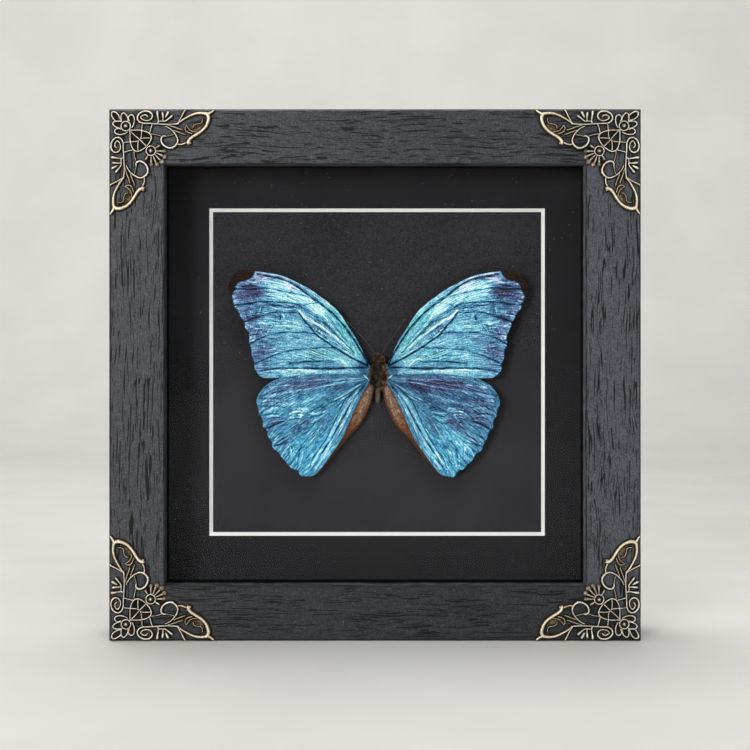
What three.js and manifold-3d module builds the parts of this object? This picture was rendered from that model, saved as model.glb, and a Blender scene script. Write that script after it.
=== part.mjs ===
// A butterfly specimen in a deep, glazed box frame with pierced metal corner ornaments.
// Millimetres, +Z up. The front faces -Y, and the origin is the middle of the frame's underside.
//
// Every piece is drawn as the front shows it: x to the right, y up from the frame's middle,
// z towards the viewer. The last group turns that view upright.
import * as THREE from "three";
import { mergeVertices } from "three/addons/utils/BufferGeometryUtils.js";
import Module from "manifold-3d";

const wasm = await Module();
wasm.setup();

// ---- Driving dimensions ----
const FRAME_SIDE = 220; // outside width and height
const FRAME_DEPTH = 35;
const RAIL_FACE = 23; // width of the moulding as the front shows it
const RAIL_WALL = 12; // thickness of the moulding behind its lip
const LIP_DEPTH = 7; // from the front face to the glass
const OUTER_ARRIS = 0.8; // flat that breaks the moulding's outer front edge
const INNER_ARRIS = 0.5;
const MITRE_GAP = 0.05; // each rail stops this far short of the mitre
const REBATE_PLAY = 0.3; // play all round the sheets that lie in the rebate
const SEAM = 0.1; // air between pieces that lie on each other

const GLASS = 2;
const SPACER_DEPTH = 14;
const SPACER_SETBACK = 1; // the spacer's face stands back from the lip's edge
const MAT = 1.4;
const MAT_WINDOW = [143.5, 140];
const MAT_WINDOW_SHIFT = [0.9, 0.6]; // the window was cut a little off centre
const CARD = 1.6;
const BACK_PANEL = 3;

const BUTTERFLY_AT = [1.3, 0.75]; // middle of the thorax, from the frame's middle
const THORAX_RISE = 4.2; // middle of the thorax above the card
const WING_RISE = 5.5; // wing roots above the card
const WING_THICKNESS = 0.5;

// Distances from the frame's middle, and heights towards the viewer.
const HALF = FRAME_SIDE / 2;
const SIGHT = HALF - RAIL_FACE; // the lip's inner edge
const REBATE = HALF - RAIL_WALL; // the rebate's wall
const SHEET_SIDE = 2 * (REBATE - REBATE_PLAY);
const FRONT = FRAME_DEPTH / 2;
const LIP_BACK = FRONT - LIP_DEPTH;
const GLASS_FRONT = LIP_BACK - SEAM;
const SPACER_FRONT = GLASS_FRONT - GLASS - SEAM;
const MAT_FRONT = SPACER_FRONT - SPACER_DEPTH - SEAM;
const CARD_FRONT = MAT_FRONT - MAT - SEAM;
const PANEL_FRONT = CARD_FRONT - CARD - SEAM;
const PANEL_BACK = PANEL_FRONT - BACK_PANEL;

// ---- Materials ----
const paint = (color, roughness, metalness = 0) =>
  new THREE.MeshStandardMaterial({ color, roughness, metalness });
const blackAsh = paint(0x3c4043, 0.5);
const clearGlass = new THREE.MeshStandardMaterial({
  color: 0xf4f8f8,
  roughness: 0.03,
  transparent: true,
  opacity: 0.12,
});
const blackWrap = paint(0x17171a, 0.8);
const matBlack = paint(0x2a2a2c, 0.9);
const cardBlack = paint(0x2c2b2e, 0.9);
const hardboard = paint(0x6b4a30, 0.85);
const springSteel = paint(0xa9abad, 0.35, 1);
const antiqueBrass = paint(0xb9a57c, 0.35, 1);
const morphoBlue = paint(0x5aa9cf, 0.35, 0.6);

// ---- Solids ----
const toSolid = (geometry) => {
  const bare = new THREE.BufferGeometry();
  bare.setAttribute("position", geometry.getAttribute("position").clone());
  if (geometry.index) bare.setIndex(geometry.index.clone());
  const merged = mergeVertices(bare, 1e-4);
  const vertProperties = new Float32Array(merged.attributes.position.array);
  const triVerts = new Uint32Array(merged.index.array);
  return new wasm.Manifold(new wasm.Mesh({ numProp: 3, vertProperties, triVerts }));
};

const toGeometry = (solid) => {
  const { vertProperties, triVerts } = solid.getMesh();
  return new THREE.BufferGeometry()
    .setAttribute("position", new THREE.BufferAttribute(vertProperties, 3))
    .setIndex(new THREE.BufferAttribute(triVerts, 1));
};

// Joins closed geometries into one, and drops vertices nearer than the tolerance to a flat.
const fuse = (geometries, tolerance) => {
  const joined = geometries.map(toSolid).reduce((all, next) => all.add(next));
  return toGeometry(joined.asOriginal().simplify(tolerance));
};

const mesh = (name, geometry, material) => {
  const made = new THREE.Mesh(geometry, material);
  made.name = name;
  return made;
};

const extrude = (shape, depth, bottom = 0, curveSegments = 4) =>
  new THREE.ExtrudeGeometry(shape, { depth, bevelEnabled: false, curveSegments }).translate(0, 0, bottom);

const moveVertices = (geometry, move) => {
  const position = geometry.getAttribute("position");
  const v = new THREE.Vector3();
  for (let i = 0; i < position.count; i++) {
    move(v.fromBufferAttribute(position, i));
    position.setXYZ(i, v.x, v.y, v.z);
  }
  return geometry;
};

// ---- Frame ----
// One mitred rail, its outer face up. Its section is drawn as (distance from the frame's middle, z).
const railGeometry = () => {
  const section = new THREE.Shape(
    [
      [HALF, -FRONT],
      [HALF, FRONT - OUTER_ARRIS],
      [HALF - OUTER_ARRIS, FRONT],
      [SIGHT + INNER_ARRIS, FRONT],
      [SIGHT, FRONT - INNER_ARRIS],
      [SIGHT, LIP_BACK],
      [REBATE, LIP_BACK],
      [REBATE, -FRONT],
    ].map((p) => new THREE.Vector2(...p)),
  );
  return moveVertices(extrude(section, 1), (v) => {
    const end = v.z === 0 ? -1 : 1;
    v.set(end * (v.x - MITRE_GAP), v.x, v.y);
  });
};

const frameRails = () => {
  const rails = new THREE.Group();
  ["top", "left", "bottom", "right"].forEach((side, turns) => {
    const rail = mesh(`frame_rail_${side}`, railGeometry(), blackAsh);
    rail.rotation.z = (turns * Math.PI) / 2;
    rails.add(rail);
  });
  return rails;
};

// ---- Sheets in the rebate ----
const sheet = (name, thickness, front, material) => {
  const made = mesh(name, new THREE.BoxGeometry(SHEET_SIDE, SHEET_SIDE, thickness), material);
  made.position.z = front - thickness / 2;
  return made;
};

const rectangle = (Type, width, height) => {
  const [w, h] = [width / 2, height / 2];
  return new Type([
    new THREE.Vector2(-w, -h),
    new THREE.Vector2(w, -h),
    new THREE.Vector2(w, h),
    new THREE.Vector2(-w, h),
  ]);
};

// The mat's window is cut at 45 degrees, so its core shows as a white line.
const matBoard = () => {
  const [width, height] = MAT_WINDOW;
  const board = rectangle(THREE.Shape, SHEET_SIDE, SHEET_SIDE);
  board.holes.push(rectangle(THREE.Path, width, height));
  const inWindow = (v) => Math.abs(v.x) < REBATE - RAIL_WALL && Math.abs(v.y) < REBATE - RAIL_WALL;
  const geometry = moveVertices(extrude(board, MAT, MAT_FRONT - MAT), (v) => {
    if (!inWindow(v)) return;
    const cut = MAT_FRONT - v.z;
    v.x += MAT_WINDOW_SHIFT[0] - Math.sign(v.x) * cut;
    v.y += MAT_WINDOW_SHIFT[1] - Math.sign(v.y) * cut;
  });
  return mesh("mat_board", geometry, matBlack);
};

const spacers = () => {
  const strips = new THREE.Group();
  const inner = SIGHT + SPACER_SETBACK;
  const thickness = REBATE - REBATE_PLAY - inner;
  const place = (name, length, turns) => {
    const strip = mesh(name, new THREE.BoxGeometry(length, thickness, SPACER_DEPTH), blackWrap);
    strip.position.set(0, inner + thickness / 2, SPACER_FRONT - SPACER_DEPTH / 2);
    const turned = new THREE.Group().add(strip);
    turned.rotation.z = (turns * Math.PI) / 2;
    strips.add(turned);
  };
  place("spacer_top", SHEET_SIDE, 0);
  place("spacer_left", 2 * (inner - SEAM), 1);
  place("spacer_bottom", SHEET_SIDE, 2);
  place("spacer_right", 2 * (inner - SEAM), 3);
  return strips;
};

// ---- Back fittings ----
const TAB = { width: 9, length: 13, thickness: 0.5, lift: 1.2, apart: 100 };

// A bent steel point. It starts at the rebate's wall, lies on the panel, and its tip turns up.
const tabGeometry = () => {
  const { width, length, thickness, lift } = TAB;
  const bend = 0.65 * length;
  const side = new THREE.Shape(
    [
      [0, 0],
      [bend, 0],
      [length, lift],
      [length, lift + thickness],
      [bend, thickness],
      [0, thickness],
    ].map((p) => new THREE.Vector2(...p)),
  );
  return moveVertices(extrude(side, width, -width / 2), (v) => {
    const narrowing = v.x > bend ? 0.6 : 1;
    v.set(v.z * narrowing, REBATE - SEAM - v.x, PANEL_BACK - SEAM - v.y);
  });
};

const backTabs = () => {
  const tabs = new THREE.Group();
  ["top", "left", "bottom", "right"].forEach((side, turns) => {
    const turned = new THREE.Group();
    turned.rotation.z = (turns * Math.PI) / 2;
    ["a", "b"].forEach((which, i) => {
      const tab = mesh(`back_tab_${side}_${which}`, tabGeometry(), springSteel);
      tab.position.x = (i - 0.5) * TAB.apart;
      turned.add(tab);
    });
    tabs.add(turned);
  });
  return tabs;
};

const HANGER = { length: 46, height: 8, thickness: 0.8, standoff: 1.6, ends: 8, teeth: 9 };
const NAIL_HEAD = { radius: 1.7, height: 0.8 };

// A sawtooth plate: flat ends nailed to the rail, and a raised middle with teeth on its lower edge.
const hangerGeometry = () => {
  const { length, height, thickness, standoff, ends, teeth } = HANGER;
  const half = length / 2;
  const middle = half - ends;
  const side = new THREE.Shape(
    [
      [-half, 0],
      [-middle - 1.5, 0],
      [-middle, standoff],
      [middle, standoff],
      [middle + 1.5, 0],
      [half, 0],
      [half, thickness],
      [middle + 1.5, thickness],
      [middle, standoff + thickness],
      [-middle, standoff + thickness],
      [-middle - 1.5, thickness],
      [-half, thickness],
    ].map((p) => new THREE.Vector2(...p)),
  );
  const strip = toSolid(extrude(side, height, -height / 2).rotateX(Math.PI / 2));
  const pitch = (2 * middle - 2) / teeth;
  const cuts = Array.from({ length: teeth }, (_, i) => {
    const x = (i - (teeth - 1) / 2) * pitch;
    const notch = new THREE.Shape([
      new THREE.Vector2(x - pitch / 2 + 0.1, -height / 2 - 1),
      new THREE.Vector2(x + pitch / 2 - 0.1, -height / 2 - 1),
      new THREE.Vector2(x, -height / 2 + 1.9),
    ]);
    return toSolid(extrude(notch, 8, -1));
  });
  return toGeometry(cuts.reduce((left, cut) => left.subtract(cut), strip));
};

const nailHead = () => {
  const { radius, height } = NAIL_HEAD;
  const profile = [[0, 0], [radius, 0], [0.7 * radius, 0.75 * height], [0, height]];
  return new THREE.LatheGeometry(profile.map((p) => new THREE.Vector2(...p)), 10).rotateX(Math.PI / 2);
};

const hanger = () => {
  const group = new THREE.Group();
  const plate = mesh("sawtooth_hanger", hangerGeometry(), springSteel);
  const nailX = HANGER.length / 2 - HANGER.ends / 2;
  group.add(plate);
  [-1, 1].forEach((end) => {
    const nail = mesh(`hanger_nail_${end < 0 ? "left" : "right"}`, nailHead(), springSteel);
    nail.position.set(end * nailX, 0, HANGER.thickness + SEAM);
    group.add(nail);
  });
  group.rotation.y = Math.PI; // its face looks backwards
  group.position.set(0, HALF - RAIL_WALL / 2, -FRONT - SEAM);
  return group;
};

// ---- Corner ornaments ----
// Drawn from the frame's top left corner: u to the right and v down, in mm. The design is the same
// on both sides of the diagonal u = v.
const ORNAMENT = 1.5; // thickness of the pierced plate
const TURN_PER_STEP = THREE.MathUtils.degToRad(32);

// Scrolls, stalks and tendrils on the upper side: [u, v, width] along the middle of each.
const STROKES = {
  spiral: [
    [28.6, 6.3, 0.9], [20, 6.3, 0.9], [14.4, 6.1, 0.9], [12.1, 4.6, 0.9], [12.5, 2.3, 0.9],
    [15.2, 1.1, 0.9], [17.9, 2.1, 0.8], [17.4, 4.2, 0.8], [15.1, 4.8, 0.8], [13.6, 3.6, 0.8],
    [15.4, 2.8, 0.8],
  ],
  fan_first: [[20.9, 6.2, 0.7], [20.9, 3.8, 0.6], [20.2, 1.5, 1]],
  fan_second: [[22.6, 5.6, 0.7], [22.3, 1.3, 1]],
  fan_third: [[23.6, 5.2, 0.6], [24.5, 1.4, 1]],
  fan_last: [[20.9, 5.3, 0.6], [24, 4.9, 0.7], [26.1, 2.9, 0.9]],
  side_leaf: [[28.3, 6.5, 0.5], [29.8, 4.1, 1.1], [31.6, 0.8, 0.5]],
  border_loop: [
    [29.4, 5.1, 0.6], [33.4, 3, 0.9], [37.6, 1.9, 1.1], [41, 2.6, 1.3], [41.3, 5.6, 1.3],
    [39.2, 8.9, 1.2], [35.2, 11.3, 1.2], [33.3, 13.9, 1.3], [30.4, 14.4, 0.8], [28.3, 14.3, 0.7],
  ],
  horn: [[41.1, 3, 1.4], [43.3, 0.8, 0.7]],
  scroll: [
    [24, 6.4, 0.6], [27.1, 9.2, 0.9], [28.8, 12.4, 1], [27.6, 15.2, 1], [25, 16.1, 1],
    [22.6, 14.6, 1], [22.3, 12, 1], [24.9, 11.4, 0.5],
  ],
  tendril: [[17.2, 10.7, 0.6], [19.5, 10.8, 0.6], [22.4, 12, 0.6]],
  grass_upper: [[25, 6.5, 0.5], [28, 7.8, 0.7], [31, 8.6, 0.4]],
  grass_lower: [[27, 9.2, 0.5], [29.5, 9.7, 0.7], [31.9, 10.5, 0.4]],
  loop_leaf: [[32, 6.2, 0.4], [32.5, 8.6, 1.4], [34.8, 9.9, 1.4], [38, 9.8, 0.8]],
  vein_end: [[13.6, 9.6, 0.6], [13.9, 6, 0.6]],
  leaf_stalk: [[16.8, 10.8, 0.6], [17.5, 8.6, 0.6], [18, 6, 0.6]],
};
const UPPER_PETALS = {
  second: [[5.6, 5.8], [5, 3.2], [5.9, 1.6], [7.5, 2.2], [8.2, 5.4]],
  third: [[8, 5.6], [8, 3.4], [9.4, 2.4], [10.9, 3.9], [10.6, 6.3], [9, 7.8]],
};
const DIAGONAL_PLATES = {
  corner_petal: [[6, 5.8], [5, 3], [2.6, 1], [1.2, 1.2], [1, 2.6], [3, 5], [5.8, 6]],
  leaf: [
    [8.4, 8.4], [12.6, 8.6], [15.7, 9.3], [18, 11.6], [17.3, 14], [16.5, 16.5], [14, 17.3],
    [11.6, 18], [9.3, 15.7], [8.6, 12.6],
  ],
};
// The daisy's petals point away from the frame's corner, as [degrees from u towards v, length].
const DAISY = { centre: [17.6, 17.5], petals: [[-28, 4.3], [-2, 5.6], [21, 6.6], [45, 6.6]] };
const PETAL_WIDTHS = [0.8, 1, 1.7, 0.8]; // from the daisy's middle to the tip
// Round places as [u, v, radius, sides].
const FLOWER_RINGS = [[7.2, 7.2, 2.4, 12], [...DAISY.centre, 2.3, 12]];
const UPPER_BEADS = [[33.4, 14, 0.9, 7], [26.5, 16.4, 0.8, 6]];
const BOSS = [1.35, 1.35, 0.9];

const turning = (points) => {
  const headings = points.slice(1).map(([u, v], i) => Math.atan2(v - points[i][1], u - points[i][0]));
  const turns = headings.slice(1).map((heading, i) => heading - headings[i]);
  return turns.reduce((sum, turn) => sum + Math.abs(Math.atan2(Math.sin(turn), Math.cos(turn))), 0);
};

// A flat ribbon along a smooth line through the stroke's points.
const ribbon = (points) => {
  const line = new THREE.CatmullRomCurve3(points.map((p) => new THREE.Vector3(...p)), false, "centripetal");
  const samples = line.getPoints(Math.max(points.length - 1, Math.ceil(turning(points) / TURN_PER_STEP)));
  const edge = (side) =>
    samples.map((p, i) => {
      const before = samples[Math.max(i - 1, 0)];
      const after = samples[Math.min(i + 1, samples.length - 1)];
      const along = new THREE.Vector2(after.x - before.x, after.y - before.y).normalize();
      return new THREE.Vector2(p.x - (side * along.y * p.z) / 2, -(p.y + (side * along.x * p.z) / 2));
    });
  return extrude(new THREE.Shape([...edge(1), ...edge(-1).reverse()]), ORNAMENT);
};

const plate = (corners) =>
  extrude(new THREE.Shape(corners.map(([u, v]) => new THREE.Vector2(u, -v))), ORNAMENT);

const disc = ([u, v, radius, sides]) => {
  const standing = new THREE.CylinderGeometry(radius, radius, ORNAMENT, sides);
  return standing.rotateX(Math.PI / 2).translate(u, -v, ORNAMENT / 2);
};

const daisyPetal = ([angle, length]) => {
  const { centre } = DAISY;
  const turn = THREE.MathUtils.degToRad(angle);
  const reach = [1.9, 0.7 * length, 0.9 * length, length];
  return ribbon(
    reach.map((r, i) => [centre[0] + r * Math.cos(turn), centre[1] + r * Math.sin(turn), PETAL_WIDTHS[i]]),
  );
};

const boss = ([u, v]) => {
  const ball = new THREE.SphereGeometry(1, 8, 4).rotateX(Math.PI / 2);
  return ball.scale(...BOSS).translate(u, -v, ORNAMENT);
};

// Both sides of the diagonal.
const bothSides = (outlines) => [
  ...outlines,
  ...outlines.map((points) => points.map(([u, v, ...rest]) => [v, u, ...rest])),
];

const ornamentGeometry = () => {
  const sidePetals = DAISY.petals.filter(([angle]) => angle < 45);
  return fuse(
    [
      ...bothSides(Object.values(STROKES)).map(ribbon),
      ...bothSides(Object.values(UPPER_PETALS)).map(plate),
      ...Object.values(DIAGONAL_PLATES).map(plate),
      ...DAISY.petals.map(daisyPetal),
      ...sidePetals.map(([angle, length]) => daisyPetal([90 - angle, length])),
      ...[...FLOWER_RINGS, ...bothSides([UPPER_BEADS]).flat()].map(disc),
      ...FLOWER_RINGS.map(boss),
    ],
    0.08,
  );
};

const ornaments = () => {
  const group = new THREE.Group();
  const geometry = ornamentGeometry();
  ["top_left", "bottom_left", "bottom_right", "top_right"].forEach((corner, turns) => {
    const ornament = mesh(`corner_ornament_${corner}`, geometry, antiqueBrass);
    ornament.position.set(-HALF, HALF, FRONT + SEAM);
    const turned = new THREE.Group().add(ornament);
    turned.rotation.z = (turns * Math.PI) / 2;
    group.add(turned);
  });
  return group;
};

// ---- Butterfly ----
// The right wings, in mm from the middle of the thorax. Each wing is a patch between four edges:
// its leading edge, its outer margin, its trailing edge, and the short edge at the root.
const FOREWING = {
  lead: [
    [3.4, 2.9], [6, 8], [10, 15], [14, 21.4], [18, 26], [24, 32], [30, 36], [36, 39.4], [42, 41.3],
    [50, 42.5], [56, 43], [60, 42.2],
  ],
  margin: [
    [60, 42.2], [62.9, 39], [63.3, 35.4], [62.2, 31.6], [61, 28.4], [58.8, 25], [57, 21.6],
    [55.4, 17.4], [54.5, 11.8], [53.3, 7.4], [52.6, 3.8], [52, 1.2], [50.6, -1.2], [48.2, -2.5],
  ],
  trail: [[3.4, -0.9], [12, -1.1], [24, -0.9], [36, -1.6], [44, -2.5], [48.2, -2.5]],
  steps: [13, 7],
};
const HINDWING = {
  lead: [[3.4, -0.8], [12, 0.9], [24, 1.2], [34, 0], [42, -2.5], [47.5, -5.7], [50.4, -9.2]],
  margin: [
    [50.4, -9.2], [51.5, -13], [50.6, -17], [48.8, -22.8], [46.6, -27.4], [44.4, -32], [41, -35.6],
    [38.8, -39.6], [35, -42.6], [31.4, -44.8], [28.2, -44.2], [26.2, -43.2],
  ],
  trail: [[3.2, -4.6], [6, -8.6], [10, -16.5], [14, -25.3], [18, -32.4], [22, -38.6], [26.2, -43.2]],
  // The brown fold beyond the trailing edge, which the spread wing tucks under.
  fold: [[1.4, -5.4], [2.2, -11.5], [4.6, -19], [9, -25.8], [14, -31.6], [19.4, -37.6], [25, -44]],
  steps: [12, 7],
};
const FOLD_STEPS = 2;

const planar = (points) => new THREE.CatmullRomCurve3(points.map(([x, y]) => new THREE.Vector3(x, y, 0)));

// A smooth patch that fills the four edges, as a function of s from root to margin and t from
// leading to trailing edge. Past t = 1 it runs on across the fold.
const wingPatch = (wing) => {
  const [lead, margin, trail] = [wing.lead, wing.margin, wing.trail].map(planar);
  const fold = wing.fold && planar(wing.fold);
  const rootLead = lead.getPoint(0);
  const rootTrail = trail.getPoint(0);
  const tipLead = lead.getPoint(1);
  const tipTrail = trail.getPoint(1);
  const mix = (a, b, k) => a.clone().lerp(b, k);
  return (s, t) => {
    if (t > 1) return mix(trail.getPointAt(s), fold.getPointAt(s), t - 1);
    const across = mix(lead.getPointAt(s), trail.getPointAt(s), t);
    const along = mix(mix(rootLead, rootTrail, t), margin.getPointAt(t), s);
    const corners = mix(mix(rootLead, rootTrail, t), mix(tipLead, tipTrail, t), s);
    return across.add(along).sub(corners);
  };
};

const PLEAT = 0.4; // half the height of the shallow pleats that fan out along the veins
const WING_LIFT = 0.04; // the wing tips stand a little higher than the roots
const HINDWING_DROP = 0.9; // the hindwings lie under the forewings
const FOLD_DROP = 2.6; // the fold turns down towards the card

const wingHeight = (s, t, x, drop, ridge) => {
  const pleat = ridge * PLEAT * Math.sin(Math.PI * s ** 0.6);
  const tuck = t > 1 ? FOLD_DROP * Math.sin(Math.PI * Math.min(s, 0.5)) * (t - 1) : 0;
  return WING_LIFT * x + pleat - drop - tuck;
};

const wingGeometry = (wing, drop) => {
  const patch = wingPatch(wing);
  const [along, across] = wing.steps;
  const ts = Array.from({ length: across + 1 }, (_, i) => i / across);
  if (wing.fold) for (let i = 1; i <= FOLD_STEPS; i++) ts.push(1 + i / FOLD_STEPS);
  const columns = ts.length;
  const points = [];
  for (const side of [WING_THICKNESS / 2, -WING_THICKNESS / 2]) {
    for (let i = 0; i <= along; i++) {
      ts.forEach((t, j) => {
        const p = patch(i / along, t);
        const ridge = t > 1 ? 0 : 1 - 2 * (j % 2);
        points.push(p.x, p.y, wingHeight(i / along, t, p.x, drop, ridge) + side);
      });
    }
  }
  const layer = (along + 1) * columns;
  const index = [];
  const quad = (a, b, c, d) => index.push(a, b, c, a, c, d);
  for (let i = 0; i < along; i++) {
    for (let j = 0; j < columns - 1; j++) {
      const [a, b] = [i * columns + j, (i + 1) * columns + j];
      quad(a, a + 1, b + 1, b);
      quad(layer + a, layer + b, layer + b + 1, layer + a + 1);
    }
  }
  const rim = [];
  for (let j = 0; j < columns - 1; j++) rim.push(j);
  for (let i = 0; i < along; i++) rim.push(i * columns + columns - 1);
  for (let j = columns - 1; j > 0; j--) rim.push(along * columns + j);
  for (let i = along; i > 0; i--) rim.push(i * columns);
  rim.forEach((a, k) => {
    const b = rim[(k + 1) % rim.length];
    quad(a, layer + a, layer + b, b);
  });
  const geometry = new THREE.BufferGeometry();
  geometry.setAttribute("position", new THREE.Float32BufferAttribute(points, 3));
  return geometry.setIndex(index);
};

const flipped = (geometry) => {
  const other = geometry.clone().scale(-1, 1, 1);
  const { array } = other.index;
  for (let k = 0; k < array.length; k += 3) [array[k + 1], array[k + 2]] = [array[k + 2], array[k + 1]];
  return other;
};

const ellipsoid = (radii, at, around = 12, rings = 8) =>
  new THREE.SphereGeometry(1, around, rings).scale(...radii).translate(...at);

// A limb along a smooth line, with a polygon for its section.
const limb = (points, radius, sides, steps) => {
  const section = new THREE.Shape(
    Array.from({ length: sides }, (_, i) => {
      const angle = (2 * Math.PI * i) / sides;
      return new THREE.Vector2(radius * Math.cos(angle), radius * Math.sin(angle));
    }),
  );
  const extrudePath = new THREE.CatmullRomCurve3(points.map((p) => new THREE.Vector3(...p)));
  return new THREE.ExtrudeGeometry(section, { steps, extrudePath, bevelEnabled: false });
};

// Heights in the butterfly are above the wing roots' level.
const THORAX_MIDDLE = THORAX_RISE - WING_RISE;
const ANTENNAE = [
  [[-0.4, 6.6, 0.2], [-3.4, 11, 1.4], [-8, 16.2, 2], [-13.2, 21.6, 2.2]],
  [[1, 6.6, 0.2], [3.6, 11, 1.4], [7.4, 16.6, 2], [11.4, 22.4, 2.2]],
];
const ANTENNA_RADIUS = 0.18;
const CLUB = [0.42, 1.5, 0.42];
const LEG_RADIUS = 0.3;
// Right legs, folded flat between the thorax and the card.
const LEGS = [
  [[1, 2.2, -2.2], [4, 4.4, -3.6], [5.4, 0.6, -4.6], [4.4, -2.6, -5]],
  [[1, -2.4, -2.4], [4.2, -4.6, -3.8], [5, -8.2, -4.7], [3.6, -10.6, -5]],
];

const bodyGeometries = () => {
  const [thorax, head] = [[3.9, 6, 4.4], [2.3, 1.9, 2.1]];
  const abdomen = new THREE.CapsuleGeometry(1.35, 8.4, 3, 8).rotateX(0.22).translate(-0.2, -8.6, -3.4);
  const eyes = [-1, 1].map((side) => ellipsoid([0.9, 1, 1.1], [0.4 + 1.7 * side, 6.1, -1], 7, 5));
  return [
    ellipsoid(thorax, [0.1, -0.8, THORAX_MIDDLE]),
    ellipsoid(head, [0.4, 5.7, THORAX_MIDDLE], 10, 7),
    abdomen,
    ...eyes,
  ];
};

const antennaGeometries = () =>
  ANTENNAE.flatMap((points) => {
    const [[x0, y0], [x1, y1, z1]] = points.slice(-2);
    const heading = Math.atan2(y1 - y0, x1 - x0) - Math.PI / 2;
    const club = new THREE.SphereGeometry(1, 5, 5).scale(...CLUB).rotateZ(heading).translate(x1, y1, z1);
    return [limb(points, ANTENNA_RADIUS, 4, 7), club];
  });

const legGeometries = () => {
  const right = LEGS.map((points) => limb(points, LEG_RADIUS, 4, 5));
  const left = LEGS.map((points) => limb(points.map(([x, y, z]) => [-x, y, z]), LEG_RADIUS, 4, 5));
  return [...right, ...left];
};

const butterfly = () => {
  const fore = wingGeometry(FOREWING, 0);
  const hind = wingGeometry(HINDWING, HINDWING_DROP);
  const pieces = [
    ...bodyGeometries(),
    fore,
    flipped(fore),
    hind,
    flipped(hind),
    ...antennaGeometries(),
    ...legGeometries(),
  ];
  const whole = pieces.map(toSolid).reduce((all, next) => all.add(next));
  // The underside is glued flat on the card.
  const glued = whole.trimByPlane([0, 0, 1], -WING_RISE);
  const made = mesh("butterfly", toGeometry(glued.asOriginal().simplify(0.05)), morphoBlue);
  made.position.set(...BUTTERFLY_AT, CARD_FRONT + SEAM + WING_RISE);
  return made;
};

// ---- Assembly ----
const frontView = new THREE.Group();
frontView.add(
  frameRails(),
  sheet("glass", GLASS, GLASS_FRONT, clearGlass),
  spacers(),
  matBoard(),
  sheet("backing_card", CARD, CARD_FRONT, cardBlack),
  sheet("back_panel", BACK_PANEL, PANEL_FRONT, hardboard),
  backTabs(),
  hanger(),
  ornaments(),
  butterfly(),
);
frontView.rotation.x = Math.PI / 2;
frontView.position.z = HALF;

const framedButterfly = new THREE.Group().add(frontView);
export default framedButterfly;
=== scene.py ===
"""The finish of a framed butterfly specimen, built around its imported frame.

Tables are in millimetres. A front view is drawn as (x to the right, z up, out towards the viewer).
A line in a table is a flat list: its points follow each other, with spaces only between points.
"""
import math

import bpy
import numpy as np
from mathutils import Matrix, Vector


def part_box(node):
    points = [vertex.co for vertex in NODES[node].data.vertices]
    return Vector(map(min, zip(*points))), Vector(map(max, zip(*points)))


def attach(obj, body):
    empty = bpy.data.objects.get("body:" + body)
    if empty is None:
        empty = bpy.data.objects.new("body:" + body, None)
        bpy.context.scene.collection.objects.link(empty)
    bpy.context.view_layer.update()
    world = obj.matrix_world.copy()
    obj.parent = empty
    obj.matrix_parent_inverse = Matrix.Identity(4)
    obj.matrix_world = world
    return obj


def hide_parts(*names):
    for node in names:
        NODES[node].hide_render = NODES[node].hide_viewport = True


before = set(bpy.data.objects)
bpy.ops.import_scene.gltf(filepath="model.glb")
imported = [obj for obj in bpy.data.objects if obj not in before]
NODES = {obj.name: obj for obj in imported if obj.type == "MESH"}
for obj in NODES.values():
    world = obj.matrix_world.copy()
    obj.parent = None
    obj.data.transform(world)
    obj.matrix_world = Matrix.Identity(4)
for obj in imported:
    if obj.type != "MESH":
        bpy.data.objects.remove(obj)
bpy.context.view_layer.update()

MM = 0.001
CORNERS = ("top_left", "bottom_left", "bottom_right", "top_right")
CARD_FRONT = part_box("backing_card")[0].y
FRAME_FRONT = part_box("frame_rail_top")[0].y
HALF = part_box("frame_rail_top")[1].z / 2
MIDDLE = HALF / MM  # how far the frame's middle is from each side, in mm
SIGHT_HALF = -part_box("frame_rail_left")[1].x / MM  # half the opening, in mm
rng = np.random.default_rng(11)


# ---- Shapes ----
def pairs(flat):
    """A flat line as an array of points."""
    return np.reshape(flat, (-1, 2)).astype(float)


def triples(flat):
    return np.reshape(flat, (-1, 3)).astype(float)


def unit(vectors):
    return vectors / np.linalg.norm(vectors, axis=1, keepdims=True)


def smooth_line(points, count):
    """count points, evenly spaced along a smooth curve through the given ones."""
    p = np.asarray(points, float)
    chord = np.linalg.norm(np.diff(p[:, :2], axis=0), axis=1)
    u = np.r_[0, np.cumsum(np.sqrt(chord))]
    slope = np.gradient(p, u, axis=0, edge_order=2 if len(p) > 2 else 1)
    fine = np.linspace(0, u[-1], 16 * len(p))
    i = np.clip(np.searchsorted(u, fine, side="right") - 1, 0, len(p) - 2)
    step = (u[i + 1] - u[i])[:, None]
    k = ((fine - u[i]) / (u[i + 1] - u[i]))[:, None]
    curve = (2 * k**3 - 3 * k**2 + 1) * p[i] + (k**3 - 2 * k**2 + k) * step * slope[i]
    curve = curve + (3 * k**2 - 2 * k**3) * p[i + 1] + (k**3 - k**2) * step * slope[i + 1]
    length = np.r_[0, np.cumsum(np.linalg.norm(np.diff(curve[:, :2], axis=0), axis=1))]
    at = np.linspace(0, length[-1], count)
    return np.stack([np.interp(at, length, column) for column in curve.T], axis=1)


def grid_faces(rows, columns, closed=False):
    """Quads of a grid of points. closed joins each row's last column to its first."""
    i, j = np.meshgrid(np.arange(rows - 1), np.arange(columns - (not closed)), indexing="ij")
    a = i * columns + j
    b = i * columns + (j + 1) % columns
    return np.stack([a, b, b + columns, a + columns], axis=-1).reshape(-1, 4)


def add_object(name, data):
    made = bpy.data.objects.new(name, data)
    bpy.context.scene.collection.objects.link(made)
    return made


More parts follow.
